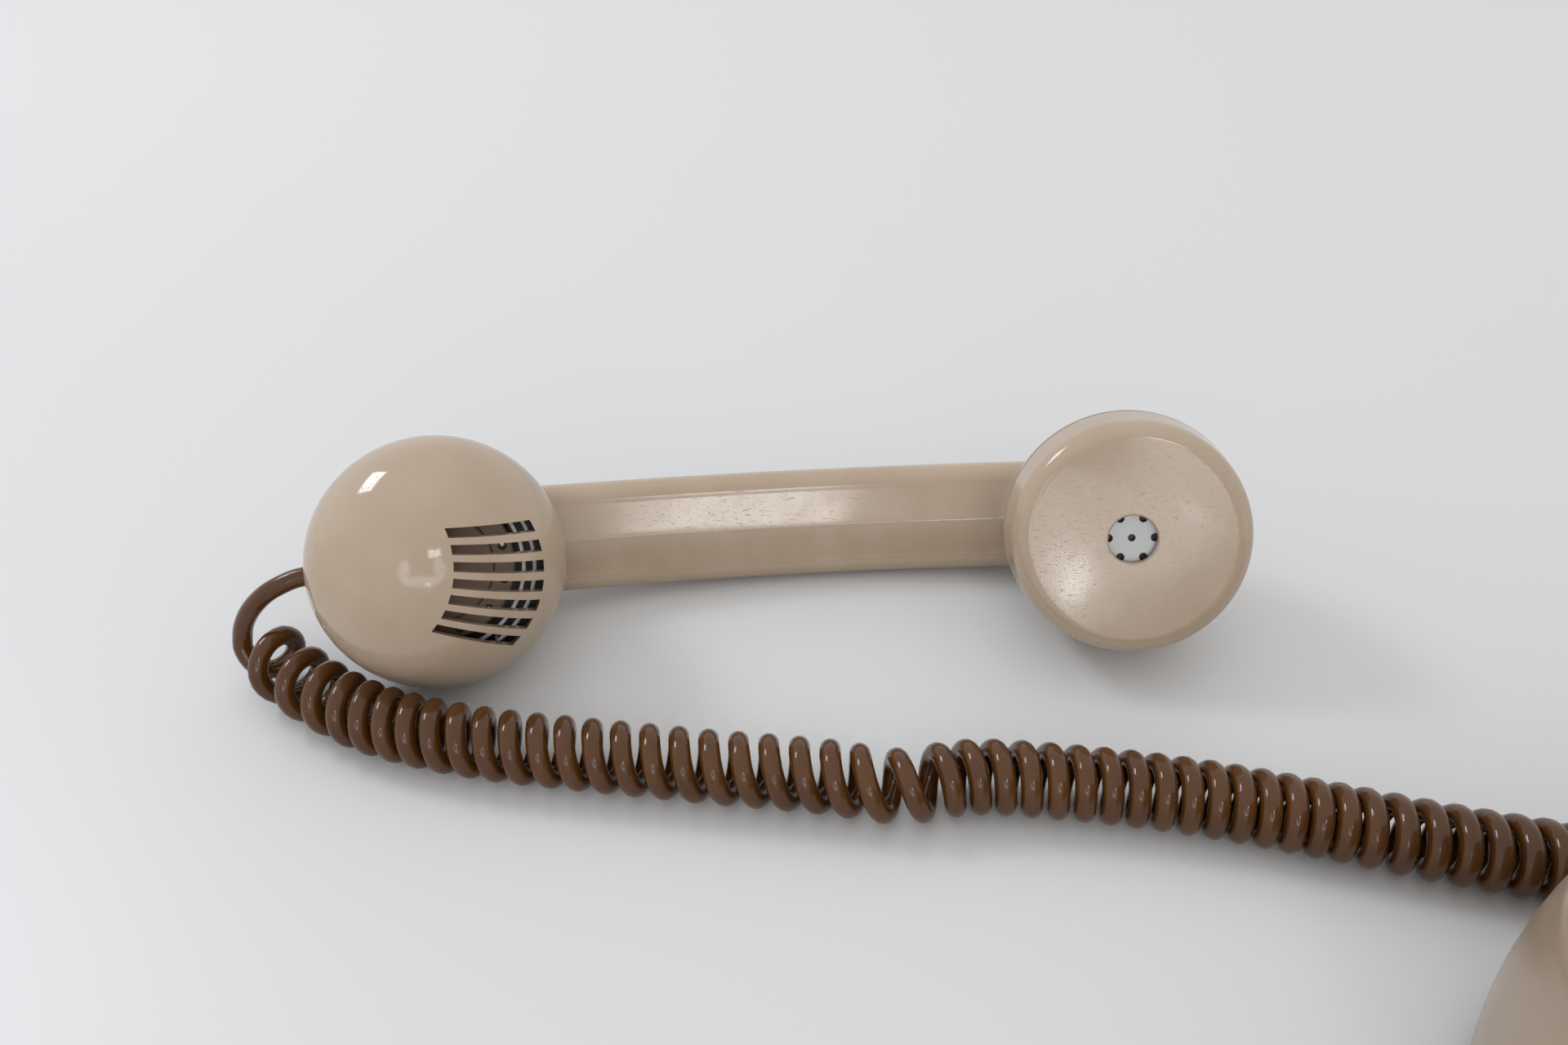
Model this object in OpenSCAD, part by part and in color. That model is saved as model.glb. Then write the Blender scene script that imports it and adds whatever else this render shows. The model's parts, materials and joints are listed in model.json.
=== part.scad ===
// Cradle telephone with a rotary dial, its handset lying beside it on a curly cord.
// Millimetres, +Z up. The dial faces -Y. The origin is on the table, in the middle of the
// footprint of base and handset.

/* [Base housing] */
// Width of the skirt at its widest
base_w = 186; // [170:1:210]
// Depth of the skirt at its widest
base_d = 186; // [170:1:210]
// Corner radius of the skirt, seen from above
skirt_corner = 48; // [40:1:60]
// Height at which the skirt is widest
belly_z = 24; // [18:1:30]
// Radius of the bulge in the skirt's sides
belly_r = 150; // [110:1:220]
// Height at which the side turns into the shoulder
shoulder_z = 48; // [44:1:54]
// Radius of the rounded shoulder
shoulder_r = 13; // [8:1:16]
// Width of the neck under the cradle
neck_w = 104; // [96:1:116]
// Depth of the neck under the cradle
neck_d = 66; // [60:1:76]
// Corner radius of the neck
neck_corner = 18; // [12:1:24]
// Height of the deck that carries the cradle
deck_z = 104; // [98:1:112]
// Wall of the housing
wall = 3; // [2:0.5:4]
// Height of the housing's lower rim above the table
rim_z = 3.5; // [2:0.5:5]

/* [Base plate and feet] */
// Thickness of the base plate
plate_t = 2.5; // [2:0.5:4]
// Gap between the base plate's edge and the housing wall
plate_gap = 1; // [0.5:0.5:2]
// Height of the rubber feet
foot_h = 4.5; // [4:0.5:6]
// Radius of a rubber foot
foot_r = 9; // [7:1:12]
// Distance of the feet from the middle, both ways
foot_at = 66; // [58:1:70]
// Distance of the housing screws from the middle, both ways
boss_at = 56; // [54:1:60]
// Radius of the screw bosses inside the housing
boss_r = 5; // [4:0.5:6]
// Radius of the housing screws
screw_r = 1.5; // [1.2:0.1:2]

/* [Cradle] */
// Height of the saddles that the handle rests in
seat_z = 126; // [122:1:132]
// Height of the prong tips
prong_z = 149; // [142:1:156]
// Distance between the middles of the two saddles
saddle_pitch = 76; // [70:1:80]
// Length of one saddle along the handle
saddle_l = 16; // [14:1:20]
// Thickness of a prong
prong_t = 9; // [7:0.5:11]
// Play between the handle and the prongs, on each side
prong_play = 0.9; // [0.5:0.1:2]
// Thickness of the cradle's foot on the deck
cradle_foot_t = 5; // [4:0.5:7]

/* [Hook switch] */
// Radius of the plungers in the saddles
plunger_r = 3; // [2.5:0.1:4]
// Travel of the plungers
plunger_travel = 6; // [4:0.5:7]
// Radial running clearance of the plungers in their bores
plunger_play = 0.08; // [0.05:0.01:0.1]
// Thickness of the yoke that joins the plungers
yoke_t = 4; // [3:0.5:5]

/* [Dial] */
// Radius of the round housing that carries the dial
turret_r = 43; // [40:0.5:46]
// Elevation of the dial's face normal above the horizontal
dial_tilt = 38; // [30:1:45]
// Distance of the dial face's middle in front of the base's middle
dial_y = 72; // [68:1:76]
// Height of the dial face's middle
dial_z = 83; // [80:1:88]
// Radius of the finger wheel
wheel_r = 36; // [33:0.5:38]
// Thickness of the finger wheel
wheel_t = 1.8; // [1.5:0.1:3]
// Radius of a finger hole
finger_r = 6.3; // [5.5:0.1:7]
// Radius of the circle that the finger holes lie on
finger_ring = 27.5; // [25:0.5:29]
// Angle of the first finger hole, measured from the dial's right
finger_first = 35; // [30:1:45]
// Angle between two finger holes
finger_step = 30; // [28:0.5:31]
// Angle of the finger stop
stop_angle = -18; // [-24:1:-12]
// Radius of the cap in the middle of the dial
cap_r = 13; // [10:0.5:16]
// Radius of the dial shaft
shaft_r = 2.5; // [2:0.1:3.5]

/* [Bell] */
// Radius of a bell gong
gong_r = 24; // [20:1:25]
// Height of a bell gong
gong_h = 13; // [10:1:16]
// Gap between the two gongs
gong_gap = 10; // [9:0.5:14]
// Length of the clapper arm from its pivot to the ball
clapper_l = 26; // [24:1:32]
// Radius of the clapper ball
clapper_r = 2.4; // [2:0.1:3]

/* [Handset] */
// Radius of the ball at the mouthpiece
ball_r = 31; // [29:0.5:33]
// Height of the mouthpiece dome above its rim
dome_h = 25; // [22:0.5:28]
// Lean of the dome's axis towards the ear end
dome_lean = 10.4; // [5:0.1:15]
// Turn of the dome about its own axis
dome_turn = -11.7; // [-20:0.1:20]
// Distance between the middles of ball and ear cup
cup_pitch = 169.3; // [165:0.1:180]
// Offset of the ear cup's rim towards the front
cup_rise = 2.5; // [0:0.1:5]
// Lean of the ear cup's axis towards the mouthpiece
cup_lean = 10; // [5:0.1:20]
// Radius of the ear cup at its rim
cup_r = 29.5; // [28:0.5:31]
// Height of the ear cap's flat face above the rim
cap_face_h = 15.5; // [14:0.1:18]
// Radius of the sound hole in the ear cap
sound_r = 5.8; // [5:0.1:7]
// Wall of the handset mouldings
shell = 2.5; // [2:0.1:3]

/* [Handle] */
// Width of the handle
handle_w = 28.6; // [26:0.1:30]
// Thickness of the handle at its ridge
handle_t = 17; // [15:0.5:19]
// Depth of the ridge behind the ball's middle, halfway along
ridge_depth = 27; // [25:0.5:29]
// Radius of the handle's arch, along the ridge
arch_r = 336; // [300:1:400]
// Fall of the front facets from the ridge to their edges
facet_fall = 1.5; // [1:0.1:3]
// Radius of the handle's front corners
front_corner = 5; // [4:0.5:6]
// Radius of the handle's back corners
back_corner = 10; // [7:0.5:11]

/* [Sound slots] */
// Distance from the dome's axis back to the point that the slots fan out from
slot_fan = 70.7; // [60:0.1:90]
// Angle between two slots
slot_step = 2.91; // [2.5:0.01:3.5]
// Angle that one slot covers
slot_open = 1.73; // [1.2:0.01:2]
// Radius of the circle that the slots' outer ends lie on
slot_outer = 24.7; // [22:0.1:26]
// Radius of the arc that the slots' inner ends lie on
slot_inner = 23.3; // [20:0.1:26]
// Distance of that arc's middle from the dome's axis
slot_inner_at = 19.4; // [15:0.1:25]

/* [Cord] */
// Outer diameter of the curly cord's coil
coil_d = 17; // [15:0.5:20]
// Diameter of the cord itself
wire_d = 4.8; // [4:0.1:6]

/* [Hidden] */

$fn = 64;
eps = 0.01;
seat_gap = 0.3;

// colours
beige = [0.66, 0.59, 0.51];
brown = [0.38, 0.25, 0.18];
ivory = [0.86, 0.83, 0.76];
steel = [0.70, 0.71, 0.72];
brass = [0.78, 0.62, 0.35];
copper = [0.72, 0.42, 0.24];
black = [0.10, 0.10, 0.10];
dark = [0.25, 0.23, 0.22];
green = [0.30, 0.42, 0.28];

// where the base and the handset stand on the table
base_at = [112.9, -68.8, 0];
ball_at = [-176.8, 121.7, ball_r + 0.05];
handset_yaw = 2.93;
handset_dip = 0.67;
face_elevation = 28.3;

module at_base() { translate(base_at) children(); }
module at_handset()
  translate(ball_at) rotate([0, handset_dip, handset_yaw]) rotate([90 - face_elevation, 0, 0])
    children();
module at_mouth() at_handset() rotate([0, dome_lean, 0]) rotate([0, 0, dome_turn]) children();
module at_ear() at_handset() in_ear() children();
module in_ear() translate([cup_pitch, 0, cup_rise]) rotate([0, -cup_lean, 0]) children();
module at_dial() at_base() in_dial() children();
module in_dial() translate([0, -dial_y, dial_z]) rotate([90 - dial_tilt, 0, 0]) children();

module tube(r_out, r_in, h) difference() {
  cylinder(r = r_out, h = h);
  translate([0, 0, -1]) cylinder(r = r_in, h = h + 2);
}
module rounded_plate(w, d, r, h) linear_extrude(h) union() {
  square([w - 2 * r, d], center = true);
  square([w, d - 2 * r], center = true);
  for (x = [-1, 1], y = [-1, 1]) translate([x * (w / 2 - r), y * (d / 2 - r)]) circle(r);
}
module four_at(d) for (x = [-1, 1], y = [-1, 1]) translate([x * d, y * d, 0]) children();

// points of an arc in the plane
function arc(c, r, a0, a1, n) =
  [for (i = [0 : n]) let (a = a0 + (a1 - a0) * i / n) [c[0] + r * cos(a), c[1] + r * sin(a)]];

// ---- housing outline: [height, inset of the side, share of the way to the neck] ----
function bulge(z) = belly_r - sqrt(belly_r * belly_r - (z - belly_z) * (z - belly_z));
shoulder_in = bulge(shoulder_z) + shoulder_r;
shoulder_top = shoulder_z + shoulder_r;
side_rows = [for (i = [0 : 4]) let (z = rim_z + (shoulder_z - rim_z) * i / 4) [z, bulge(z), 0]];
shoulder_rows = [for (a = [22.5 : 22.5 : 90])
  [shoulder_z + shoulder_r * sin(a), bulge(shoulder_z) + shoulder_r * (1 - cos(a)), 0]];
neck_rows = [for (a = [15 : 15 : 90])
  [shoulder_top + (deck_z - shoulder_top) * (1 - cos(a)), shoulder_in, sin(a)]];
outline = concat(side_rows, shoulder_rows, neck_rows);

function half_x(row) = (base_w / 2 - row[1]) * (1 - row[2]) + neck_w / 2 * row[2];
function half_y(row) = (base_d / 2 - row[1]) * (1 - row[2]) + neck_d / 2 * row[2];
function corner(row) = (skirt_corner - row[1] / 2) * (1 - row[2]) + neck_corner * row[2];
corner_steps = 7;
function ring(hx, hy, r, z) = [for (k = [0 : 3], i = [0 : corner_steps])
  let (a = 90 * k + 90 * i / corner_steps,
       cx = (k == 0 || k == 3) ? hx - r : r - hx,
       cy = k < 2 ? hy - r : r - hy)
  [cx + r * cos(a), cy + r * sin(a), z]];
function flat(rings) = [for (one = rings) for (p = one) p];
// closed solid through a stack of rings, each counterclockwise seen from the next one
module loft(rings) {
  n = len(rings[0]);
  m = len(rings);
  polyhedron(points = flat(rings), convexity = 6, faces = concat(
    [[for (i = [0 : n - 1]) i]],
    [for (k = [0 : m - 2], i = [0 : n - 1]) let (j = (i + 1) % n)
      [k * n + j, k * n + i, (k + 1) * n + j]],
    [for (k = [0 : m - 2], i = [0 : n - 1]) let (j = (i + 1) % n)
      [(k + 1) * n + i, (k + 1) * n + j, k * n + i]],
    [[for (i = [0 : n - 1]) m * n - 1 - i]]));
}
// the outline moved inwards by inset; drop lengthens it downwards, to cut through the rim
module housing_layer(inset, drop) loft([for (i = [drop > 0 ? -1 : 0 : len(outline) - 1])
  let (row = outline[max(i, 0)], sink = inset * (row[0] - rim_z) / (deck_z - rim_z))
  ring(half_x(row) - inset, half_y(row) - inset, corner(row) - inset,
    row[0] - sink - (i < 0 ? drop : 0))]);

// ---- base ----
plate_z = foot_h;
floor_z = plate_z + plate_t;
turret_depth = 34;
turret_bore = turret_r - wall;
plunger_x = saddle_pitch / 2;
gland_x = 10;
gland_z = 14;
gland_r = 4;
gland_flange = 6.5;
inlet_x = base_w / 2 - skirt_corner - gland_flange;
back_y = base_d / 2 - bulge(gland_z);
wheel_slot_h = 6;
volume_r = 14;
volume_t = 4;
volume_proud = 1.5;
volume_z = 15;
volume_x = base_w / 2 - bulge(volume_z + volume_t / 2) - volume_r + volume_proud;

module base_housing() color(beige) at_base() difference() {
  union() {
    difference() {
      union() {
        housing_layer(0, 0);
        in_dial() translate([0, 0, -turret_depth]) cylinder(r = turret_r, h = turret_depth);
      }
      housing_layer(wall, 1);
    }
    // screw bosses that stand on the base plate
    intersection() {
      housing_layer(wall / 2, 0);
      four_at(boss_at) translate([0, 0, floor_z]) cylinder(r = boss_r, h = shoulder_top - floor_z + 6);
    }
  }
  in_dial() translate([0, 0, -turret_depth - 1]) cylinder(r = turret_bore, h = turret_depth + 2);
  four_at(boss_at) translate([0, 0, floor_z - 1]) cylinder(r = screw_r - 0.3, h = 20);
  for (x = [-plunger_x, plunger_x])
    translate([x, 0, deck_z - 2 * wall]) cylinder(r = plunger_r + 1, h = 3 * wall);
  for (x = [gland_x, inlet_x])
    translate([x, back_y - 12, gland_z]) rotate([-90, 0, 0]) cylinder(r = gland_r, h = 20);
  translate([base_w / 2 - 12, -18, volume_z - 1]) cube([20, 36, wheel_slot_h]);
}

module base_plate() color(dark) at_base() {
  inset = bulge(plate_z) + wall + plate_gap;
  difference() {
    translate([0, 0, plate_z])
      rounded_plate(base_w - 2 * inset, base_d - 2 * inset, skirt_corner - inset, plate_t);
    four_at(boss_at) translate([0, 0, plate_z - 1]) cylinder(r = screw_r + 0.2, h = plate_t + 2);
    // sound openings under the bell
    for (x = [-36 : 12 : 36]) translate([x - 2, 18, plate_z - 1]) cube([4, 26, plate_t + 2]);
  }
}
module rubber_feet() color(black) at_base() four_at(foot_at)
  rotate_extrude() polygon(concat(
    [[0, 0]], arc([foot_r - 1.5, 1.5], 1.5, -90, 0, 4), [[foot_r - 1, foot_h], [0, foot_h]]));
screw_head_r = 3;
module base_screws() color(steel) at_base() four_at(boss_at) {
  translate([0, 0, plate_z - 1.6]) cylinder(r = screw_head_r, h = 1.6);
  translate([0, 0, plate_z - eps]) cylinder(r = screw_r - 0.3, h = plate_t + 8);
}

// ---- cradle ----
saddle_gap = handle_w + 2 * prong_play;
saddle_w = saddle_gap + 2 * prong_t;
cradle_l = saddle_pitch + saddle_l;
cradle_screw_x = 20;
module saddle_outline() difference() {
  union() {
    translate([-saddle_w / 2, 0]) square([saddle_w, prong_z - prong_t / 2 - deck_z]);
    for (s = [-1, 1]) translate([s * (saddle_w - prong_t) / 2, prong_z - prong_t / 2 - deck_z])
      circle(prong_t / 2);
  }
  // the trough for the handle, with rounded corners
  translate([-saddle_gap / 2, seat_z - deck_z + 4]) square([saddle_gap, prong_z]);
  translate([-saddle_gap / 2 + 4, seat_z - deck_z]) square([saddle_gap - 8, prong_z]);
  for (s = [-1, 1]) translate([s * (saddle_gap / 2 - 4), seat_z - deck_z + 4]) circle(4);
}
module cradle() color(beige) at_base() difference() {
  union() {
    translate([0, 0, deck_z]) rounded_plate(cradle_l, saddle_w, 8, cradle_foot_t);
    for (x = [-plunger_x, plunger_x])
      translate([x - saddle_l / 2, 0, deck_z]) rotate([90, 0, 90])
        linear_extrude(saddle_l) saddle_outline();
  }
  for (x = [-plunger_x, plunger_x])
    translate([x, 0, deck_z - 1]) cylinder(r = plunger_r + plunger_play, h = prong_z);
  for (x = [-cradle_screw_x, cradle_screw_x])
    translate([x, 0, deck_z - 1]) cylinder(r = screw_r + 0.2, h = 10);
}
module cradle_screws() color(steel) at_base() for (x = [-cradle_screw_x, cradle_screw_x]) {
  translate([x, 0, deck_z + cradle_foot_t]) cylinder(r = screw_head_r, h = 1.8);
  translate([x, 0, deck_z - eps]) cylinder(r = screw_r, h = cradle_foot_t + 2 * eps);
}

// ---- hook switch ----
yoke_top = deck_z - wall - plunger_travel + 4;
plunger_top = seat_z + plunger_travel + 1;
frame_z = yoke_top - yoke_t - plunger_travel - 14;
spring_r = 5;
module hook_plungers() color(dark) at_base() for (x = [-plunger_x, plunger_x]) {
  translate([x, 0, yoke_top]) cylinder(r = plunger_r, h = plunger_top - yoke_top - 1);
  translate([x, 0, plunger_top - 1]) cylinder(r1 = plunger_r, r2 = plunger_r - 1, h = 1);
}
module hook_yoke() color(steel) at_base() translate([0, 0, yoke_top - yoke_t]) {
  translate([-plunger_x - 5, -5, 0]) cube([saddle_pitch + 10, 10, yoke_t]);
  translate([-3, 5, 0]) cube([6, 8, yoke_t]);
}
module hook_spring() color(steel) at_base() translate([0, 0, frame_z + frame_t])
  tube(spring_r, spring_r - 1, yoke_top - yoke_t - frame_z - frame_t);
frame_w = 60;
frame_d = 30;
frame_y = -8;
frame_t = 3;
strap_w = 10;
module hook_frame() color(steel) at_base() {
  translate([-frame_w / 2, frame_y, frame_z]) cube([frame_w, frame_d, frame_t]);
  // two straps up to the deck, beside the yoke
  for (x = [-frame_w / 2, frame_w / 2 - frame_t])
    translate([x, frame_y + frame_d - strap_w, frame_z]) cube([frame_t, strap_w, deck_z - wall - frame_z]);
}
module switch_contacts() color(brass) at_base() {
  translate([-10, 14, frame_z + frame_t]) cube([20, 7, 8]);
  for (i = [0 : 2]) translate([-8 + i * 6.5, 7, frame_z + 5 + i * 1.5]) cube([3, 7, 0.5]);
}

// ---- dial, in its own frame: +Z out of the face, +Y up the slope ----
bezel_t = 2;
well = 14;
case_floor = 2;
plate_lift = 1;
wheel_z = bezel_t + 1.4;
cap_z = wheel_z + wheel_t;
gear_z = -well - case_floor - 4;
gear_r = 20;
pinion_r = 5;
mesh_gap = 0.2;
pinion_x = gear_r + pinion_r + mesh_gap;
stop_z = cap_z + 1;
case_r = turret_bore - 0.3;
module dial_case() color(dark) at_dial() difference() {
  union() {
    cylinder(r = turret_r, h = bezel_t);
    translate([0, 0, -well - case_floor]) cylinder(r = case_r, h = well + case_floor + eps);
  }
  translate([0, 0, -plate_lift]) cylinder(r = wheel_r + 1, h = bezel_t + 2);
  translate([0, 0, -well]) cylinder(r = wheel_r - 1, h = well + 2);
  translate([0, 0, -well - case_floor - 1]) cylinder(r = shaft_r + 0.05, h = case_floor + 2);
  translate([pinion_x, 0, -well - case_floor - 1]) cylinder(r = 1.55, h = case_floor + 2);
}
module number_plate() color(ivory) at_dial() translate([0, 0, -plate_lift])
  tube(wheel_r + 0.8, shaft_r + 2.5, 1.2);
module finger_wheel() color(brown) at_dial() translate([0, 0, wheel_z]) difference() {
  cylinder(r = wheel_r, h = wheel_t);
  for (i = [0 : 9]) rotate(finger_first + i * finger_step) translate([finger_ring, 0, -1])
    cylinder(r = finger_r, h = wheel_t + 2);
  translate([0, 0, -1]) cylinder(r = shaft_r, h = wheel_t + 2);
}
module finger_stop() color(steel) at_dial() rotate(stop_angle) {
  translate([wheel_r + 2, -2.5, bezel_t]) cube([3, 5, stop_z - bezel_t]);
  translate([finger_ring - 3, -2.5, stop_z - eps]) cube([wheel_r - finger_ring + 8, 5, 1.2]);
}
module dial_cap() color(brown) at_dial() translate([0, 0, cap_z])
  rotate_extrude() polygon(concat([[0, 0]], [[cap_r, 0]], arc([cap_r - 1.6, 0.6], 1.6, 0, 90, 4), [[0, 2.6]]));
module dial_shaft() color(steel) at_dial() translate([0, 0, gear_z - 3])
  cylinder(r = shaft_r, h = cap_z - gear_z + 3);
module dial_gear() color(brass) at_dial() translate([0, 0, gear_z]) tube(gear_r, shaft_r, 2.5);
module dial_pinion() color(brass) at_dial() translate([pinion_x, 0, gear_z]) {
  cylinder(r = pinion_r, h = 2.5);
  translate([0, 0, 2.5 - eps]) cylinder(r = 1.5, h = case_floor + 1.5 + eps);
}
module governor() color(steel) at_dial() translate([pinion_x, 0, gear_z - 6]) {
  cylinder(r = 1.5, h = 6);
  translate([-7, -1.5, 0]) cube([14, 3, 2]);
  for (s = [-1, 1]) translate([s * 7, 0, 0]) cylinder(r = 3, h = 3);
}
module dial_spring() color(steel) at_dial() translate([0, 0, -well]) tube(9, 4, 5);
module pulse_contacts() color(brass) at_dial() translate([-32, -8, -well - case_floor - 7]) {
  cube([9, 16, 7]);
  translate([8, 5, 0]) cube([3.2, 3, 4]);
}

// ---- bell ----
gong_x = gong_r + gong_gap / 2;
gong_y = 30;
gong_z = floor_z + 8;
pivot_y = gong_y + clapper_l;
core_r = 2.5;
module gong_shape() rotate_extrude() polygon(concat(
  [[gong_r, 0]], arc([gong_r - 7, gong_h - 7], 7, 0, 90, 6), [[2, gong_h], [2, gong_h - 1.6]],
  arc([gong_r - 7, gong_h - 7], 5.4, 90, 0, 6), [[gong_r - 1.6, 0]]));
module gong_left() color(brass) at_base() translate([-gong_x, gong_y, gong_z]) gong_shape();
module gong_right() color(brass) at_base() translate([gong_x, gong_y, gong_z]) gong_shape();
module gong_posts() color(steel) at_base() for (s = [-1, 1]) translate([s * gong_x, gong_y, 0]) {
  translate([0, 0, floor_z]) cylinder(r = 4, h = gong_z + gong_h - 1.6 - floor_z);
  translate([0, 0, gong_z + gong_h - 1.6 - eps]) cylinder(r = 2, h = 2);
  translate([0, 0, gong_z + gong_h]) cylinder(r = 4, h = 1.6);
}
module clapper() color(steel) at_base() translate([0, 0, gong_z + 4]) {
  translate([0, gong_y, 0]) sphere(r = clapper_r);
  translate([0, pivot_y - 2.5, 0]) rotate([90, 0, 0]) cylinder(r = 0.9, h = clapper_l - 2.5);
  difference() {
    translate([0, pivot_y, -2]) cylinder(r = 4, h = 4);
    translate([0, pivot_y, -3]) cylinder(r = 1.55, h = 6);
  }
}
coil_r = 7;
coil_l = 16;
coil_x = 18;
ringer_w = 64;
ringer_d = 24;
cheek_x = ringer_w / 2 - 3;
cheek_t = 4;
module ringer_coil() color(copper) at_base()
  for (s = [-1, 1]) translate([s * coil_x - coil_l / 2, pivot_y + 10, gong_z + 4]) rotate([0, 90, 0])
    tube(coil_r, core_r, coil_l);
module ringer_yoke() color(steel) at_base() {
  translate([-ringer_w / 2, pivot_y - 6, floor_z]) cube([ringer_w, ringer_d, 2]);
  for (s = [-1, 1]) translate([s * cheek_x - cheek_t / 2, pivot_y + 6, floor_z + 2])
    cube([cheek_t, 8, gong_z + 8 - floor_z]);
  // cores of the two coils, and the clapper's pivot pin on its post
  translate([-cheek_x, pivot_y + 10, gong_z + 4]) rotate([0, 90, 0])
    cylinder(r = core_r, h = 2 * cheek_x);
  translate([0, pivot_y, floor_z]) cylinder(r = 3, h = gong_z - floor_z + 2 - seat_gap);
  translate([0, pivot_y, gong_z]) cylinder(r = 1.5, h = 7);
}

// ---- electrics on the base plate ----
board_w = 84;
board_d = 46;
board_y = 53 - base_d / 2;
board_z = floor_z + 6;
module circuit_board() color(green) at_base() difference() {
  translate([-board_w / 2, board_y - board_d / 2, board_z]) cube([board_w, board_d, 1.6]);
  for (x = [-1, 1], y = [-1, 1])
    translate([x * (board_w / 2 - 5), board_y + y * (board_d / 2 - 5), board_z - 1])
      cylinder(r = 1.6, h = 4);
}
module board_posts() color(ivory) at_base() for (x = [-1, 1], y = [-1, 1])
  translate([x * (board_w / 2 - 5), board_y + y * (board_d / 2 - 5), floor_z]) {
    cylinder(r = 3.5, h = board_z - floor_z);
    translate([0, 0, board_z - floor_z - eps]) cylinder(r = 1.5, h = 3);
  }
module transformer() color(steel) at_base() translate([-30, board_y, board_z + 1.6]) {
  translate([-11, -10, 0]) cube([22, 20, 3]);
  translate([-9, -8, 3]) cube([18, 16, 10]);
  translate([-11, -10, 13]) cube([22, 20, 3]);
}
module capacitor() color(brown) at_base()
  translate([26, board_y - 14, board_z + 1.6 + 6]) rotate([-90, 0, 0]) cylinder(r = 6, h = 28);
module terminal_block() color(ivory) at_base() translate([19 - base_w / 2, -14, floor_z]) difference() {
  cube([14, 40, 11]);
  for (i = [0 : 3]) translate([7, 5 + 10 * i, 5]) cylinder(r = 2, h = 7);
}
module volume_wheel() color(dark) at_base() translate([volume_x, 0, volume_z]) {
  cylinder(r = volume_r, h = volume_t);
  translate([0, 0, floor_z + seat_gap - volume_z]) cylinder(r = 2.5, h = volume_z - floor_z);
  for (a = [0 : 30 : 330]) rotate(a) translate([volume_r - 0.3, -0.8, 0]) cube([0.8, 1.6, volume_t]);
}
module bush(bore) color(brown) rotate([-90, 0, 0]) difference() {
  union() {
    translate([0, 0, -wall - 4]) cylinder(r = gland_flange, h = 4);
    translate([0, 0, -wall]) cylinder(r = gland_r, h = wall + 1);
    translate([0, 0, 0.2]) cylinder(r1 = gland_flange, r2 = gland_r, h = 7.3);
  }
  if (bore > 0) translate([0, 0, -wall - 5]) cylinder(r = bore, h = wall + 16);
}
module line_inlet() at_base() translate([inlet_x, back_y, gland_z]) bush(wire_d / 2);
module base_cord_gland() at_base() translate([gland_x, back_y, gland_z]) bush(0);

// ---- handset ----
arch_x = 93;
arch_z = arch_r - ridge_depth;
handle_half = handle_w / 2;
facet_edge = handle_half - front_corner + 1;
// section across the handle: first the distance from the arch's middle, then the width
module handle_section(inset) {
  r0 = arch_r + inset;
  r1 = arch_r + handle_t - inset;
  h = handle_half - inset;
  fc = front_corner;
  bc = back_corner - inset;
  front = arc([r0 + facet_fall + fc, h - fc], fc, 180, 90, 5);
  back = arc([r1 - bc, h - bc], bc, 90, 0, 6);
  upper = concat([[r0, 0]], front, back);
  lower = [for (i = [len(upper) - 1 : -1 : 1]) [upper[i][0], -upper[i][1]]];
  polygon(concat(upper, lower));
}
module handle_bar(inset, x0, x1) {
  a0 = asin((x0 - arch_x) / arch_r);
  a1 = asin((x1 - arch_x) / arch_r);
  translate([arch_x, 0, arch_z]) rotate([90, 0, 0]) rotate([0, 0, -90 + a0])
    rotate_extrude(angle = a1 - a0) handle_section(inset);
}
// the bar runs into the ball and the ear cup, and is rounded off behind the cup
end_round_x = cup_pitch - 21;
end_round_z = 2;
end_round = handle_t + ridge_depth - 3;
module handle_ends() union() {
  translate([-20, -handle_w, -2.5 * ball_r]) cube([end_round_x + 20, 2 * handle_w, 2.5 * ball_r + 10]);
  translate([end_round_x, 0, end_round_z]) sphere(r = end_round);
}
// half of a block larger than the handset's ends, above the rim or below it
block = 4 * ball_r;
module block_above() translate([-block / 2, -block / 2, 0]) cube(block);
module behind(r) intersection() {
  sphere(r = r);
  translate([-block / 2, -block / 2, -block]) cube(block);
}
lip_w = 3;
// middle of the cord entry, a little below the ball's axis
entry = [0, -1.7, -0.9];
neck_h = 7;
neck_r = cup_r - shell - 0.2;
ledge_z = 0.5;
module handset_body() color(beige) at_handset() difference() {
  union() {
    difference() {
      union() {
        rotate([0, dome_lean, 0]) behind(ball_r);
        in_ear() behind(cup_r);
        difference() {
          intersection() {
            handle_bar(0, 1, cup_pitch + 14);
            handle_ends();
          }
          rotate([0, dome_lean, 0]) block_above();
          in_ear() block_above();
        }
      }
      sphere(r = ball_r - shell);
      in_ear() sphere(r = cup_r - shell);
      handle_bar(shell, 12, cup_pitch - 6);
    }
    // lip that centres the dome
    rotate([0, dome_lean, 0]) {
      translate([0, 0, -lip_w]) tube(ball_r - shell + 1, ball_r - shell - 1.6, lip_w);
      translate([0, 0, -1]) tube(ball_r - shell - 0.6, ball_r - shell - 1.6, lip_w + 1);
    }
    // neck that the ear cap turns on, and the receiver's ledge
    in_ear() {
      translate([0, 0, -4]) tube(cup_r - shell + 1, neck_r - 2.3, 4);
      translate([0, 0, -1]) tube(neck_r, neck_r - 2.3, neck_h + 1);
      translate([0, 0, ledge_z - 2]) tube(neck_r - 2, 14, 2);
    }
  }
  // cord entry in the end of the ball
  translate(entry) rotate([0, -90, 0]) translate([0, 0, ball_r / 2]) cylinder(r = wire_d / 2, h = ball_r);
}

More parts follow.
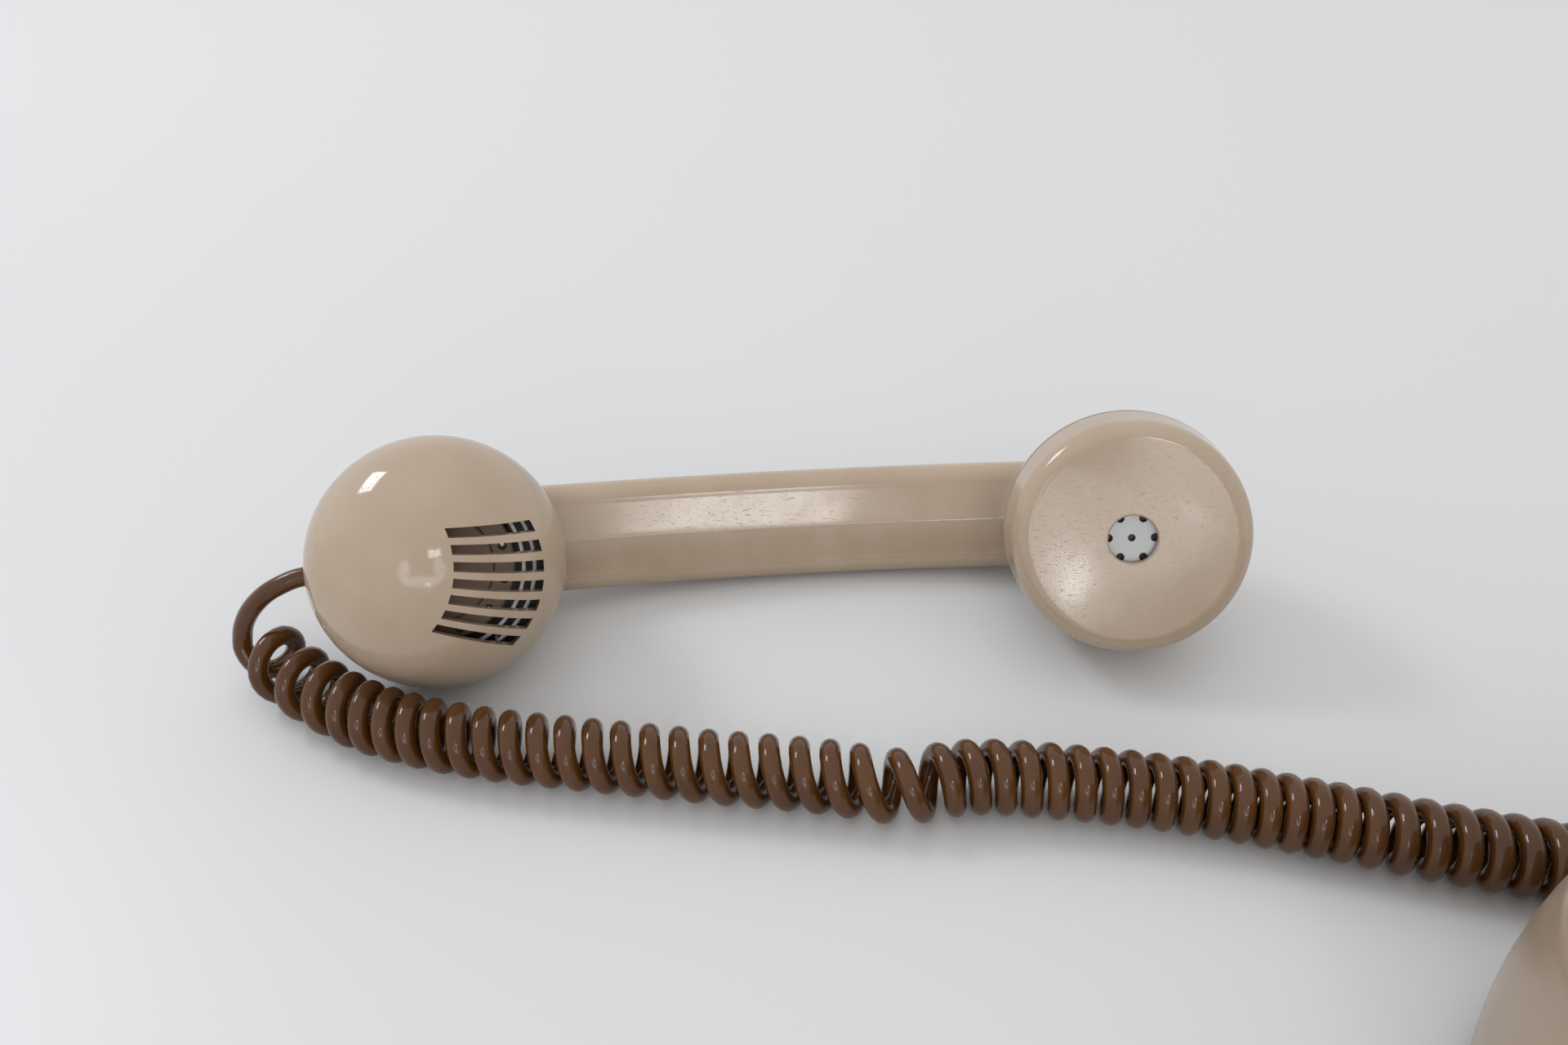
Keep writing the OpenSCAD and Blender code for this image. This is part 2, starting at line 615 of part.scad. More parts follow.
// outline of a dome: quarter of an ellipse
function quarter(r, h, n) = [for (i = [0 : n]) let (a = 90 * i / n) [r * cos(a), h * sin(a)]];
module slot_shape() difference() {
  intersection() {
    union() for (k = [-3 : 3]) let (a = k * slot_step, b = slot_open / 2, far = 120)
      polygon([[-slot_fan, 0], [far * cos(a - b) - slot_fan, far * sin(a - b)],
        [far * cos(a + b) - slot_fan, far * sin(a + b)]]);
    circle(slot_outer);
  }
  translate([-slot_inner_at, 0]) circle(slot_inner);
  translate([-slot_fan, -50]) square([slot_fan, 100]);
}
module mouth_dome() color(beige) at_mouth() difference() {
  rotate_extrude() polygon(concat([[0, 0]], quarter(ball_r, dome_h, 16)));
  rotate_extrude() polygon(concat([[0, -eps]], quarter(ball_r - shell, dome_h - shell, 16)));
  linear_extrude(dome_h + 5) slot_shape();
}
mic_r = 18.5;
carrier_r = ball_r - shell - 1.7;
module mic_carrier() color(dark) at_mouth() translate([0, 0, -lip_w]) difference() {
  cylinder(r = carrier_r, h = 2);
  translate([-14, 0, -1]) cylinder(r = 3, h = 4);
  // room for the cord clamp
  rotate(-dome_turn) translate([-carrier_r - 2, -7, -1]) cube([11, 14, 4]);
}
module mic_capsule() color(dark) at_mouth() translate([0, 0, 2 - lip_w]) {
  cylinder(r = mic_r, h = 7);
  translate([0, 0, 7 - eps]) cylinder(r = mic_r - 5, h = 1.2);
}
module mic_contacts() color(steel) at_mouth() translate([0, 0, -lip_w]) {
  for (s = [-1, 1]) translate([-6, s * 8 - 2, -3]) cube([12, 4, 3]);
}
// two wire rings round the capsule, each on four legs
clip_r = 20.2;
clip_z = 8.5;
module mic_clip() color(steel) at_mouth() for (r = [clip_r, clip_r + 2.6]) {
  translate([0, 0, clip_z]) rotate_extrude() translate([r, 0]) circle(r = 0.5, $fn = 12);
  for (a = [45 : 90 : 315]) rotate(a) translate([r, 0, 2 - lip_w])
    cylinder(r = 0.4, h = clip_z - 2 + lip_w, $fn = 12);
}

// ---- ear end ----
thread_play = 0.07;
ear_fillet = 4.5;
ear_side_in = 1.2;
ear_inner = cap_face_h - 2.2;
module ear_cap() color(beige) at_ear() rotate_extrude() polygon(concat(
  [[cup_r - 0.1, seat_gap]],
  arc([cup_r - ear_side_in - ear_fillet, cap_face_h - ear_fillet], ear_fillet, 0, 90, 6),
  [[sound_r + 0.5, cap_face_h], [sound_r, cap_face_h - 0.5], [sound_r, ear_inner]],
  [[neck_r - 2.5, ear_inner], [neck_r - 1, ear_inner - 1.5], [neck_r - 1, neck_h + 0.6]],
  [[neck_r + thread_play, neck_h + 0.6], [neck_r + thread_play, seat_gap]]));
capsule_r = neck_r - 2.8;
capsule_h = 10.5;
gasket_t = 0.8;
disc_t = 0.8;
module receiver_capsule() color(dark) at_ear() translate([0, 0, ledge_z])
  cylinder(r = capsule_r, h = capsule_h);
module receiver_gasket() color(black) at_ear() translate([0, 0, ledge_z + capsule_h])
  tube(capsule_r, capsule_r - 4, gasket_t);
module ear_disc() color(steel) at_ear() translate([0, 0, ledge_z + capsule_h + gasket_t]) difference() {
  cylinder(r = capsule_r, h = disc_t);
  translate([0, 0, -1]) cylinder(r = 0.95, h = 3);
  for (a = [0 : 60 : 300]) rotate(a) translate([sound_r - 0.4, 0, -1]) cylinder(r = 1, h = 3);
}
// wires through the handle, along its back wall
loom_r = 1.8;
loom_from = asin((ball_r - 3 - arch_x) / arch_r);
loom_to = asin((cup_pitch - cup_r + 0.2 - arch_x) / arch_r);
module wire_loom() color(black) at_handset() translate([arch_x, 0, arch_z]) rotate([90, 0, 0])
  rotate([0, 0, -90 + loom_from])
    rotate_extrude(angle = loom_to - loom_from)
      translate([arch_r + handle_t - shell - loom_r - 0.02, 0]) circle(loom_r, $fn = 24);
clamp_l = 7;
clamp_w = 10;
clamp_h = 8;
module cord_clamp() color(steel) at_handset()
  translate(entry + [shell - ball_r - 0.2, -clamp_w / 2, -clamp_h / 2]) difference() {
    cube([clamp_l, clamp_w, clamp_h]);
    translate([-1, clamp_w / 2, clamp_h / 2]) rotate([0, 90, 0])
      cylinder(r = wire_d / 2, h = clamp_l + 2);
  }

// ---- cord ----
// plain cord from the ball down to the curly part
tail_pts = [
  [-207.2, 120.1, 29.5], [-211, 119.6, 29.1], [-214.5, 118.7, 28.2], [-218.8, 117.6, 26.2],
  [-223.2, 117.1, 22.2], [-226.5, 117.2, 17.4], [-228.2, 117, 12.9], [-227.4, 116.9, 9.6],
  [-224.6, 116.6, 8.5], [-222.3, 115.3, 8.5], [-220, 113.05, 8.5]];
// middle line of the curly part, on the table
coil_pts = [
  [-219.9, 112.9], [-211.9, 105.4], [-202.9, 98.7], [-191.9, 91.9], [-177.9, 86.2], [-160.9, 81.7],
  [-141.9, 78.3], [-113.9, 74], [-86.4, 69.5], [-73.4, 66.4], [-66, 65.6], [-58, 67.1],
  [-49, 67.6], [-32.9, 65.6], [-6.9, 61.1], [17.6, 54.9], [40.6, 47.9], [60.6, 42.5],
  [79.1, 38.5], [97.1, 37.3]];
// plain cord from the curly part into the gland on the base's back
lead_pts = [
  [97.5, 38.4, 13.3], [103.1, 39.3, 14], [109.1, 39.5, 14.2], [115.1, 38.8, 14.2],
  [120.1, 36.9, 14.1], [122.9, 34.3, 14], [122.9, 31.5, 14]];
function unit(v) = v / norm(v);
function heading(p, i) = unit(p[min(i + 1, len(p) - 1)] - p[max(i - 1, 0)]);
// rings square to a route, one vertex of each straight down
function sweep(p, r, n) = [for (i = [0 : len(p) - 1])
  let (t = heading(p, i), s = unit(cross(t, [0, 0, 1])), u = cross(s, t))
  [for (k = [0 : n - 1]) let (a = -90 - 360 * k / n) p[i] + r * cos(a) * s + r * sin(a) * u]];
module cord_tail_handset() color(brown) loft(sweep(tail_pts, wire_d / 2, 8));
module cord_coil() color(brown)
  loft(sweep([for (p = coil_pts) [p[0], p[1], coil_d / 2]], coil_d / 2, 12));
module cord_tail_base() color(brown) loft(sweep(lead_pts, wire_d / 2, 8));

base_housing();
base_plate();
rubber_feet();
base_screws();
cradle();
cradle_screws();
hook_plungers();
hook_yoke();
hook_spring();
hook_frame();
switch_contacts();
dial_case();
number_plate();
finger_wheel();
finger_stop();
dial_cap();
dial_shaft();
dial_gear();
dial_pinion();
governor();
dial_spring();
pulse_contacts();
gong_left();
gong_right();
gong_posts();
clapper();
ringer_coil();
ringer_yoke();
circuit_board();
board_posts();
transformer();
capacitor();
terminal_block();
volume_wheel();
line_inlet();
base_cord_gland();
handset_body();
mouth_dome();
mic_carrier();
mic_capsule();
mic_contacts();
mic_clip();
ear_cap();
ear_disc();
receiver_gasket();
receiver_capsule();
wire_loom();
cord_clamp();
cord_tail_handset();
cord_coil();
cord_tail_base();
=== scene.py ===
"""Cradle telephone with a rotary dial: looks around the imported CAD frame.

The frame, the camera and the lamps are in metres, +Z up. Shapes are worked out in millimetres.
"""

import json
import math

import bmesh
import bpy
import numpy as np
from mathutils import Matrix, Vector


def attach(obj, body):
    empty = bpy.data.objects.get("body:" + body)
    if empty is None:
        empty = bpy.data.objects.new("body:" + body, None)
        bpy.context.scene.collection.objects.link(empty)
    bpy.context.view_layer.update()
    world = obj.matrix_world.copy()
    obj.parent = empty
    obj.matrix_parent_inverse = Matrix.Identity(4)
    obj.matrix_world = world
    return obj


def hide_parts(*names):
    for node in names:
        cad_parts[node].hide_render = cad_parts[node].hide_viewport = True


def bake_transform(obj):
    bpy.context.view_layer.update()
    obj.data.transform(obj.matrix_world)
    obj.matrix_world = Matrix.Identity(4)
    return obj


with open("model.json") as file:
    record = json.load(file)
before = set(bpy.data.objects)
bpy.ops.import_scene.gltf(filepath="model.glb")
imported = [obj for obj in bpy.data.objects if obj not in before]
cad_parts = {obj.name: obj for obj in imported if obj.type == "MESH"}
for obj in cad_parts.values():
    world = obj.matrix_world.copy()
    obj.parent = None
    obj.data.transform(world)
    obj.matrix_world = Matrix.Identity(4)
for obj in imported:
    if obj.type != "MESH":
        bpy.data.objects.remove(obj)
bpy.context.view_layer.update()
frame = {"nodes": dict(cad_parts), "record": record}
NODES = frame["nodes"]
MM = 0.001

# ---------------------------------------------------------------- places, from part.scad, in mm and degrees
BASE_AT = np.array([112.9, -68.8, 0.0])
BALL_AT = np.array([-176.8, 121.7, 31.05])
BALL_R, DOME_H, SHELL = 31.0, 25.0, 2.5
YAW, DIP, FACE_ELEVATION = 2.93, 0.67, 28.3
DOME_LEAN, DOME_TURN = 10.4, -11.7
EAR_AT, EAR_LEAN, CUP_R = np.array([169.3, 0.0, 2.5]), -10.0, 29.5
CAP_FACE_H, SOUND_R = 15.5, 5.8
DIAL_AT, DIAL_TILT = np.array([0.0, -72.0, 83.0]), 52.0
WIRE_D, COIL_D = 4.8, 17.0
# the cord's plain tail from the ball, the curly part's middle line from above, and the plain lead to the base
TAIL = [
    (-207.2, 120.1, 29.5), (-211, 119.6, 29.1), (-214.5, 118.7, 28.2), (-218.8, 117.6, 26.2),
    (-223.2, 117.1, 22.2), (-226.5, 117.2, 17.4), (-228.2, 117, 12.9), (-228.3, 115.4, 9.2),
    (-226.2, 113.6, 5.6), (-223.6, 113, 3.2),
]
COIL = [
    (-219.9, 112.9), (-211.9, 105.4), (-202.9, 98.7), (-191.9, 91.9), (-177.9, 86.2), (-160.9, 81.7),
    (-141.9, 78.3), (-113.9, 74), (-86.4, 69.5), (-73.4, 66.4), (-66, 65.6), (-58, 67.1),
    (-49, 67.6), (-32.9, 65.6), (-6.9, 61.1), (17.6, 54.9), (40.6, 47.9), (60.6, 42.5),
    (79.1, 38.5), (97.1, 37.3),
]
LEAD = [
    (103.1, 39.3, 14), (109.1, 39.5, 14.2), (115.1, 38.8, 14.2), (120.1, 36.9, 14.1),
    (122.9, 34.3, 14), (122.9, 31.5, 14),
]


def turn(axis, degrees):
    return np.array(Matrix.Rotation(math.radians(degrees), 3, axis))


# a place is a rotation and an origin
AT_BASE = (np.eye(3), BASE_AT)
AT_HANDSET = (turn("Z", YAW) @ turn("Y", DIP) @ turn("X", 90 - FACE_ELEVATION), BALL_AT)


def within(place, rotation=None, origin=(0, 0, 0)):
    """A place given in another place's frame."""
    outer, at = place
    inner = np.eye(3) if rotation is None else rotation
    return (outer @ inner, at + outer @ np.array(origin, float))


AT_BALL = within(AT_HANDSET, turn("Y", DOME_LEAN))
AT_MOUTH = within(AT_BALL, turn("Z", DOME_TURN))
AT_EAR = within(AT_HANDSET, turn("Y", EAR_LEAN), EAR_AT)
AT_DIAL = within(AT_BASE, turn("X", DIAL_TILT), DIAL_AT)


# ---------------------------------------------------------------- mesh tools
SHARP_ANGLE, SOFTEN_ANGLE = 32, 40


def add_object(name, data):
    """A new object in the scene."""
    obj = bpy.data.objects.new(name, data)
    bpy.context.scene.collection.objects.link(obj)
    return obj


def turn_outwards(mesh, merge=None):
    """Turns a closed mesh's faces outwards, once points closer than merge are one."""
    bm = bmesh.new()
    bm.from_mesh(mesh)
    if merge is not None:
        bmesh.ops.remove_doubles(bm, verts=bm.verts[:], dist=merge)
    bmesh.ops.recalc_face_normals(bm, faces=bm.faces[:])
    bm.to_mesh(mesh)
    bm.free()


def finished_mesh(obj):
    """The mesh that an object's curve, text or modifiers make."""
    bpy.context.view_layer.update()
    return bpy.data.meshes.new_from_object(obj.evaluated_get(bpy.context.evaluated_depsgraph_get()))


def new_object(name, verts, faces, place=None):
    """A smooth mesh from points in millimetres, moved to its place."""
    points = np.array(verts, float)
    if place is not None:
        points = points @ place[0].T + place[1]
    mesh = bpy.data.meshes.new(name)
    mesh.from_pydata((points * MM).tolist(), [], [tuple(int(i) for i in f) for f in faces])
    turn_outwards(mesh)
    mesh.shade_smooth()
    return add_object(name, mesh)


def fuse(name, objects):
    """Several meshes as one object."""
    bm = bmesh.new()
    for obj in objects:
        bm.from_mesh(obj.data)
        bpy.data.objects.remove(obj)
    mesh = bpy.data.meshes.new(name)
    bm.to_mesh(mesh)
    bm.free()
    mesh.shade_smooth()
    return add_object(name, mesh)


def lathe(name, profile, place, steps=128, ring=False):
    """A profile of (radius, height) points turned about the place's Z axis; ring closes the profile."""
    verts, rows = [], []
    for r, z in profile:
        count = 1 if r == 0 else steps
        rows.append(range(len(verts), len(verts) + count))
        angles = 2 * np.pi * np.arange(count) / count
        verts += [(r * math.cos(a), r * math.sin(a), z) for a in angles]
    pairs = list(zip(rows, rows[1:])) + ([(rows[-1], rows[0])] if ring else [])
    faces = []
    for a, b in pairs:
        for k in range(steps):
            j = (k + 1) % steps
            corners = [a[k % len(a)], a[j % len(a)], b[j % len(b)], b[k % len(b)]]
            faces.append(list(dict.fromkeys(corners)))
    return new_object(name, verts, faces, place)


def loft(name, rings, place):
    """A solid through a stack of rings with equally many points, closed by flat ends."""
    rings = np.array(rings, float)
    m, n = rings.shape[:2]
    faces = [range(n), range((m - 1) * n, m * n)]
    for k in range(m - 1):
        for i in range(n):
            j = (i + 1) % n
            faces.append((k * n + i, k * n + j, (k + 1) * n + j, (k + 1) * n + i))
    return new_object(name, rings.reshape(-1, 3), [list(f) for f in faces], place)


def on_circle(r, degrees):
    """Points of a circle at the given angles."""
    return [(r * math.cos(a), r * math.sin(a)) for a in np.radians(degrees)]


def arc(centre, r, a0, a1, n):
    """Points of an arc, both ends included."""
    return [(centre[0] + x, centre[1] + y) for x, y in on_circle(r, np.linspace(a0, a1, n + 1))]


def combine(obj, other, operation):
    """obj joined with, cut by or limited to other, which goes."""
    modifier = obj.modifiers.new("combine", "BOOLEAN")
    modifier.operation, modifier.solver, modifier.object = operation, "EXACT", other
    made = finished_mesh(obj)
    obj.modifiers.clear()
    obj.data = made
    bpy.data.objects.remove(other)
    return obj


def cut(obj, *others):
    for other in others:
        combine(obj, other, "DIFFERENCE")
    return obj


def join(obj, *others):
    for other in others:
        combine(obj, other, "UNION")
    return obj


def rod(place, r, z0, z1, at=(0, 0), steps=48, name="rod"):
    """A plain round cutter, pin or plate along the place's Z axis."""
    return lathe(name, [(0, z0), (r, z0), (r, z1), (0, z1)], within(place, None, (*at, 0)), steps)


def ring_tube(r_out, r_in, z0, z1, place):
    return lathe("tube", [(r_out, z0), (r_out, z1), (r_in, z1), (r_in, z0)], place, 128, ring=True)


def block(lo, hi, place):
    """A square-edged cutter."""
    (x0, y0, z0), (x1, y1, z1) = lo, hi
    return loft("block", [[(x0, y0, z), (x1, y0, z), (x1, y1, z), (x0, y1, z)] for z in (z0, z1)], place)


def sharpen(obj):
    """Smooth shading that keeps the sharp edges."""
    obj.data.shade_smooth()
    obj.data.set_sharp_from_angle(angle=math.radians(SHARP_ANGLE))
    modifier = obj.modifiers.new("weighted", "WEIGHTED_NORMAL")
    modifier.keep_sharp = True
    return obj


def soften(node, width):
    """Rounds a CAD node's sharp edges for the eye; its own mesh stays as it is."""
    modifier = NODES[node].modifiers.new("rounded", "BEVEL")
    modifier.width, modifier.segments = width * MM, 3
    modifier.limit_method, modifier.angle_limit = "ANGLE", math.radians(SOFTEN_ANGLE)


def piece(obj, body, slot, *nodes, material=None):
    """Gives a piece its finish and body, and the CAD nodes that it stands for."""
    obj.data.materials.clear()
    obj.data.materials.append(MATS[material or slot])
    if nodes:
        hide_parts(*nodes)
    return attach(obj, body)


# ---------------------------------------------------------------- camera
CAMERA_AT = Vector((-0.0921, -0.1192, 0.2249))
PITCH, ROLL = math.radians(37.47), math.radians(1.64)
FOCAL_PX, IMAGE_W, IMAGE_H, SENSOR = 1550.0, 1920.0, 1280.0, 36.0
CLIP_NEAR, CLIP_FAR = 0.01, 20
LEVEL, STEEP = Vector((1, 0, 0)), Vector((0, -math.sin(PITCH), -math.cos(PITCH)))
FORWARD = Vector((0, math.cos(PITCH), -math.sin(PITCH)))
RIGHT = math.cos(ROLL) * LEVEL + math.sin(ROLL) * STEEP
DOWN = -math.sin(ROLL) * LEVEL + math.cos(ROLL) * STEEP


def make_camera():
    data = bpy.data.cameras.new("camera")
    data.sensor_width = SENSOR
    data.lens = SENSOR * FOCAL_PX / IMAGE_W
    data.clip_start, data.clip_end = CLIP_NEAR, CLIP_FAR
    turned = Matrix((RIGHT, -DOWN, -FORWARD)).transposed().to_4x4()
    obj = add_object("camera", data)
    obj.matrix_world = Matrix.Translation(CAMERA_AT) @ turned
    bpy.context.scene.camera = obj


def seen_at(points):
    """How far across and down the photograph points in millimetres are seen, in pixels."""
    turned = (points - np.array(CAMERA_AT) / MM) @ np.array([RIGHT, DOWN, FORWARD]).T
    across, down, away = np.moveaxis(turned, -1, 0)
    return IMAGE_W / 2 + FOCAL_PX * across / away, IMAGE_H / 2 + FOCAL_PX * down / away


make_camera()


# ---------------------------------------------------------------- materials: scales per metre, depths in metres
CLOUD_BAND, CLOUD_DETAIL = (0.38, 0.72), 5
SPECK_SCALE, SPECK_BAND, SPECK_SHARE, SPECK_SHADE = 1600, (0.70, 0.77), 0.35, 0.55
GLOSS_SCALE, GLOSS_BAND = 110, (0.35, 0.75)
SCRATCH_SCALE, SCRATCH_BAND, SCRATCH_DEPTH = 240, (0.655, 0.68, 0.70), 0.00006
# the two sets of scratches as (stretch, turn)
SCRATCH_WAYS = (((1, 14, 14), (0.2, 0.1, 0.3)), ((14, 1, 14), (0.4, 0.3, 0.9)))
WAVE_SCALE, WAVE_DEPTH = 60, 0.0008
PLASTIC_IOR = 1.5
FINE_BAND = (0.3, 0.7)
LINE_SHADE, LINE_SPREAD, LINE_BUMP, LINE_DEPTH = 0.82, 0.14, 0.15, 0.00003
GRAIN_SCALE, GRAIN_SHADE, GRAIN_BUMP, GRAIN_DEPTH = 700, 0.8, 0.2, 0.00008
PATCH_SCALE, PATCH_SPREAD = 120, 0.12


def srgb(r, g, b):
    """The linear colour of three sRGB values from 0 to 255."""
    return [((c / 255 + 0.055) / 1.055) ** 2.4 if c > 10 else c / 255 / 12.92 for c in (r, g, b)] + [1]


def shaded(colour, share):
    return [c * share for c in colour[:3]] + [1]


class Graph:
    """A small helper for building a node material."""

    def __init__(self, name):
        self.mat = bpy.data.materials.new(name)
        self.mat.use_nodes = True
        self.nodes = self.mat.node_tree.nodes
        self.link = self.mat.node_tree.links.new
        self.shader = self.nodes["Principled BSDF"]
        self.coord = self.nodes.new("ShaderNodeTexCoord").outputs["Object"]

    def set(self, **values):
        for key, value in values.items():
            self.shader.inputs[key.replace("_", " ")].default_value = value

    def noise(self, scale, detail=4, stretch=(1, 1, 1), turned=(0, 0, 0)):
        mapping = self.nodes.new("ShaderNodeMapping")
        mapping.inputs["Scale"].default_value = stretch
        mapping.inputs["Rotation"].default_value = turned
        self.link(self.coord, mapping.inputs["Vector"])
        tex = self.nodes.new("ShaderNodeTexNoise")
        tex.inputs["Scale"].default_value = scale
        tex.inputs["Detail"].default_value = detail
        self.link(mapping.outputs["Vector"], tex.inputs["Vector"])
        return tex.outputs["Fac"]

    def ramp(self, source, band, values):
        """Colours or grey levels at the band's places along the source."""
        node = self.nodes.new("ShaderNodeValToRGB")
        elements = node.color_ramp.elements
        while len(elements) < len(band):
            elements.new(0.5)
        for element, at, value in zip(elements, band, values):
            element.position = at
            element.color = value if hasattr(value, "__len__") else (value, value, value, 1)
        self.link(source, node.inputs["Fac"])
        return node.outputs["Color"]

    def mix(self, factor, a, b, mode="MIX"):
        node = self.nodes.new("ShaderNodeMix")
        node.data_type = "RGBA"
        node.blend_type = mode
        for socket, value in ((node.inputs["Factor"], factor), (node.inputs[6], a), (node.inputs[7], b)):
            if isinstance(value, bpy.types.NodeSocket):
                self.link(value, socket)
            else:
                socket.default_value = value
        return node.outputs[2]

    def bump(self, height, strength, distance, after=None):
        node = self.nodes.new("ShaderNodeBump")
        node.inputs["Strength"].default_value = strength
        node.inputs["Distance"].default_value = distance
        self.link(height, node.inputs["Height"])
        if after is not None:
            self.link(after, node.inputs["Normal"])
        return node.outputs["Normal"]

    def finish(self, colour, roughness, normal):
        self.link(colour, self.shader.inputs["Base Color"])
        self.link(roughness, self.shader.inputs["Roughness"])
        self.link(normal, self.shader.inputs["Normal"])
        return self.mat


def moulding(name, base, dirt, rough, spread=0.10, scratches=0.25, mottle=45, waves=0.05, specular=0.5):
    """Aged glossy moulding: cloudy colour, uneven gloss, fine scratches and specks."""
    g = Graph(name)
    clouds = g.ramp(g.noise(mottle, CLOUD_DETAIL), CLOUD_BAND, (base, dirt))
    specks = g.ramp(g.noise(SPECK_SCALE, 2), SPECK_BAND, (0.0, SPECK_SHARE))
    colour = g.mix(specks, clouds, shaded(base, SPECK_SHADE))
    gloss = g.ramp(g.noise(GLOSS_SCALE), GLOSS_BAND, (rough, rough + spread))
    lines = [
        g.ramp(g.noise(SCRATCH_SCALE, 3, stretch, turned), SCRATCH_BAND, (0.0, 1.0, 0.0))
        for stretch, turned in SCRATCH_WAYS
    ]
    scratch = g.mix(1.0, *lines, "ADD")
    soft = g.bump(g.noise(WAVE_SCALE, 3), waves, WAVE_DEPTH)
    g.set(IOR=PLASTIC_IOR, Specular_IOR_Level=specular)
    return g.finish(colour, gloss, g.bump(scratch, scratches, SCRATCH_DEPTH, soft))


def metal(name, colour, rough, scale=900, stretch=(1, 30, 30), metallic=1.0):
    """Brushed or turned metal: fine lines in gloss and height."""
    g = Graph(name)
    lines = g.noise(scale, 3, stretch)
    tone = g.ramp(lines, FINE_BAND, (shaded(colour, LINE_SHADE), colour))
    gloss = g.ramp(lines, FINE_BAND, (rough, rough + LINE_SPREAD))
    g.set(Metallic=metallic)
    return g.finish(tone, gloss, g.bump(lines, LINE_BUMP, LINE_DEPTH))


def simple(name, colour, rough):
    """Matt plastic, rubber or board with a fine grain."""
    g = Graph(name)
    fine = g.noise(GRAIN_SCALE)
    tone = g.ramp(fine, FINE_BAND, (shaded(colour, GRAIN_SHADE), colour))
    gloss = g.ramp(g.noise(PATCH_SCALE, 3), FINE_BAND, (rough, rough + PATCH_SPREAD))
    return g.finish(tone, gloss, g.bump(fine, GRAIN_BUMP, GRAIN_DEPTH))


MATS = {
    "beige": moulding(
        "beige_moulding", srgb(172, 153, 133), srgb(164, 144, 123), 0.075, 0.07, 0.35, waves=0.03
    ),
    # the base's moulding is the handset's beige made darker: painted shade, with a duller gloss
    "base_beige_painted_shade": moulding("base_moulding_painted_shade", srgb(156, 138, 120), srgb(149, 130, 111), 0.18),
    "brown": moulding("brown_moulding", srgb(96, 62, 44), srgb(84, 52, 37), 0.16),
    "cord": moulding(
        "cord_sheath", srgb(82, 49, 19), srgb(69, 40, 13), 0.08, 0.08, 0.1, mottle=90, specular=0.4
    ),
    "ivory": simple("ivory_plastic", srgb(222, 214, 196), 0.35),
    "dark": simple("dark_plastic", srgb(52, 46, 42), 0.42),
    "capsule": metal("dull_capsule_metal", srgb(136, 115, 93), 0.4, 500, (1, 3, 3), 0.15),
    "steel": metal("bright_steel", srgb(178, 179, 182), 0.24),
    # the clip's wire rings are matt white, not metal: their white is a painted glint
    "wire": metal("white_clip_wire_painted_glint", srgb(250, 249, 245), 0.3, metallic=0.0),
    "disc": metal("brushed_disc", srgb(172, 174, 173), 0.34, 700, (1, 24, 24), 0.6),
    "brass": metal("satin_brass", srgb(196, 160, 92), 0.28),
    "copper": metal("copper_metal", srgb(176, 110, 68), 0.34),
    "rubber": simple("black_rubber", srgb(22, 22, 22), 0.6),
    "board": simple("circuit_board_green", srgb(76, 106, 66), 0.4),
}
SLOTS = {s["node"]: s["material_slot"] for s in frame["record"]["subparts"]}
# these base parts take the darker beige, which carries painted shade
BASE_NODES = ("base_housing", "cradle", "dial_case")

for node, cad in NODES.items():
    cad.data.materials.clear()
    cad.data.materials.append(MATS["base_beige_painted_shade" if node in BASE_NODES else SLOTS[node]])


# ---------------------------------------------------------------- cord
# where the tops of turns are seen in the photograph: (number of the turn, pixels across)
TURN_TOPS = [
    (0, 352), (1, 383), (2, 410), (3, 437), (4, 460), (5, 485), (7, 537), (10, 629), (14, 763), (20, 980),
    (22, 1057), (23, 1100), (24, 1145), (25, 1183), (27, 1255), (29, 1322), (31, 1388), (34, 1486),
    (37, 1581), (40, 1677), (43, 1787), (46, 1896),
]
# the curly part's two ends: (number of the turn, millimetres along the middle line)
FIRST_TURN, LAST_TURN = (-0.4, -1.5), (51.9, 330.4)
TOP_SEARCH = 2
# how far a turn's lowest point lies ahead of its top: (number of the turn, millimetres)
LEANS = [
    (0, 0.3), (5, 0.6), (15, 0.6), (18, 1.6), (21, 2.4), (23, 2.0), (24, 0.2),
    (26, -0.8), (31, -1.4), (38, -1.6), (52, -1.6),
]
# how far a turn's near side lies ahead of its middle, and how far the turn lies behind the middle line
SHEARS = [(0, 0.0), (1.3, 0.0), (3, 1.2), (8, 1.2), (12, 0.7), (20, 0.4), (25, 0.0), (52, 0.0)]
SHIFTS = [(0, 0.0), (6, 0.6), (12, 0.6), (17, 0.2), (22, 0.8), (30, 0.8), (38, 0.0), (52, 0.0)]
TURN_POINTS, TUBE_SIDES = 24, 14
# where a whole number of turns stands on the circle, and how far that moves on over the first turns
TOP_ANGLE, TOP_DRIFT, DRIFT_TURNS = 124.0, 10.0, 8
FIRST_SWELL, SWELL_FADES = 0.75, 1.2
SMOOTH_MM = 30.0
TAIL_STEP, MIDDLE_STEP, LEAD_STEP = 1.2, 0.5, 1.5
# the helix's first points that the tail passes over
HELIX_FROM = 3
# stretches to relax as (first point, last point, passes): after the ball, and round the start of the lead
TAIL_RELAX, LEAD_RELAX = (24, 44, 14), (-12, 8, 20)


def spline(points, step):
    """Points about step apart on a smooth curve through the given ones."""
    p = np.array(points, float)
    p = np.vstack([2 * p[0] - p[1], p, 2 * p[-1] - p[-2]])
    out = []
    for i in range(1, len(p) - 2):
        n = max(2, int(np.linalg.norm(p[i + 1] - p[i]) / step))
        a, b, c, d = p[i - 1 : i + 3]
        for k in range(n):
            t = k / n
            square, cube = 2 * a - 5 * b + 4 * c - d, 3 * b - a - 3 * c + d
            out.append(0.5 * (2 * b + (c - a) * t + square * t * t + cube * t**3))
    out.append(p[-2])
    return np.array(out)


def distances(points):
    """How far along a path each of its points lies."""
    return np.concatenate([[0], np.cumsum(np.linalg.norm(np.diff(points, axis=0), axis=1))])


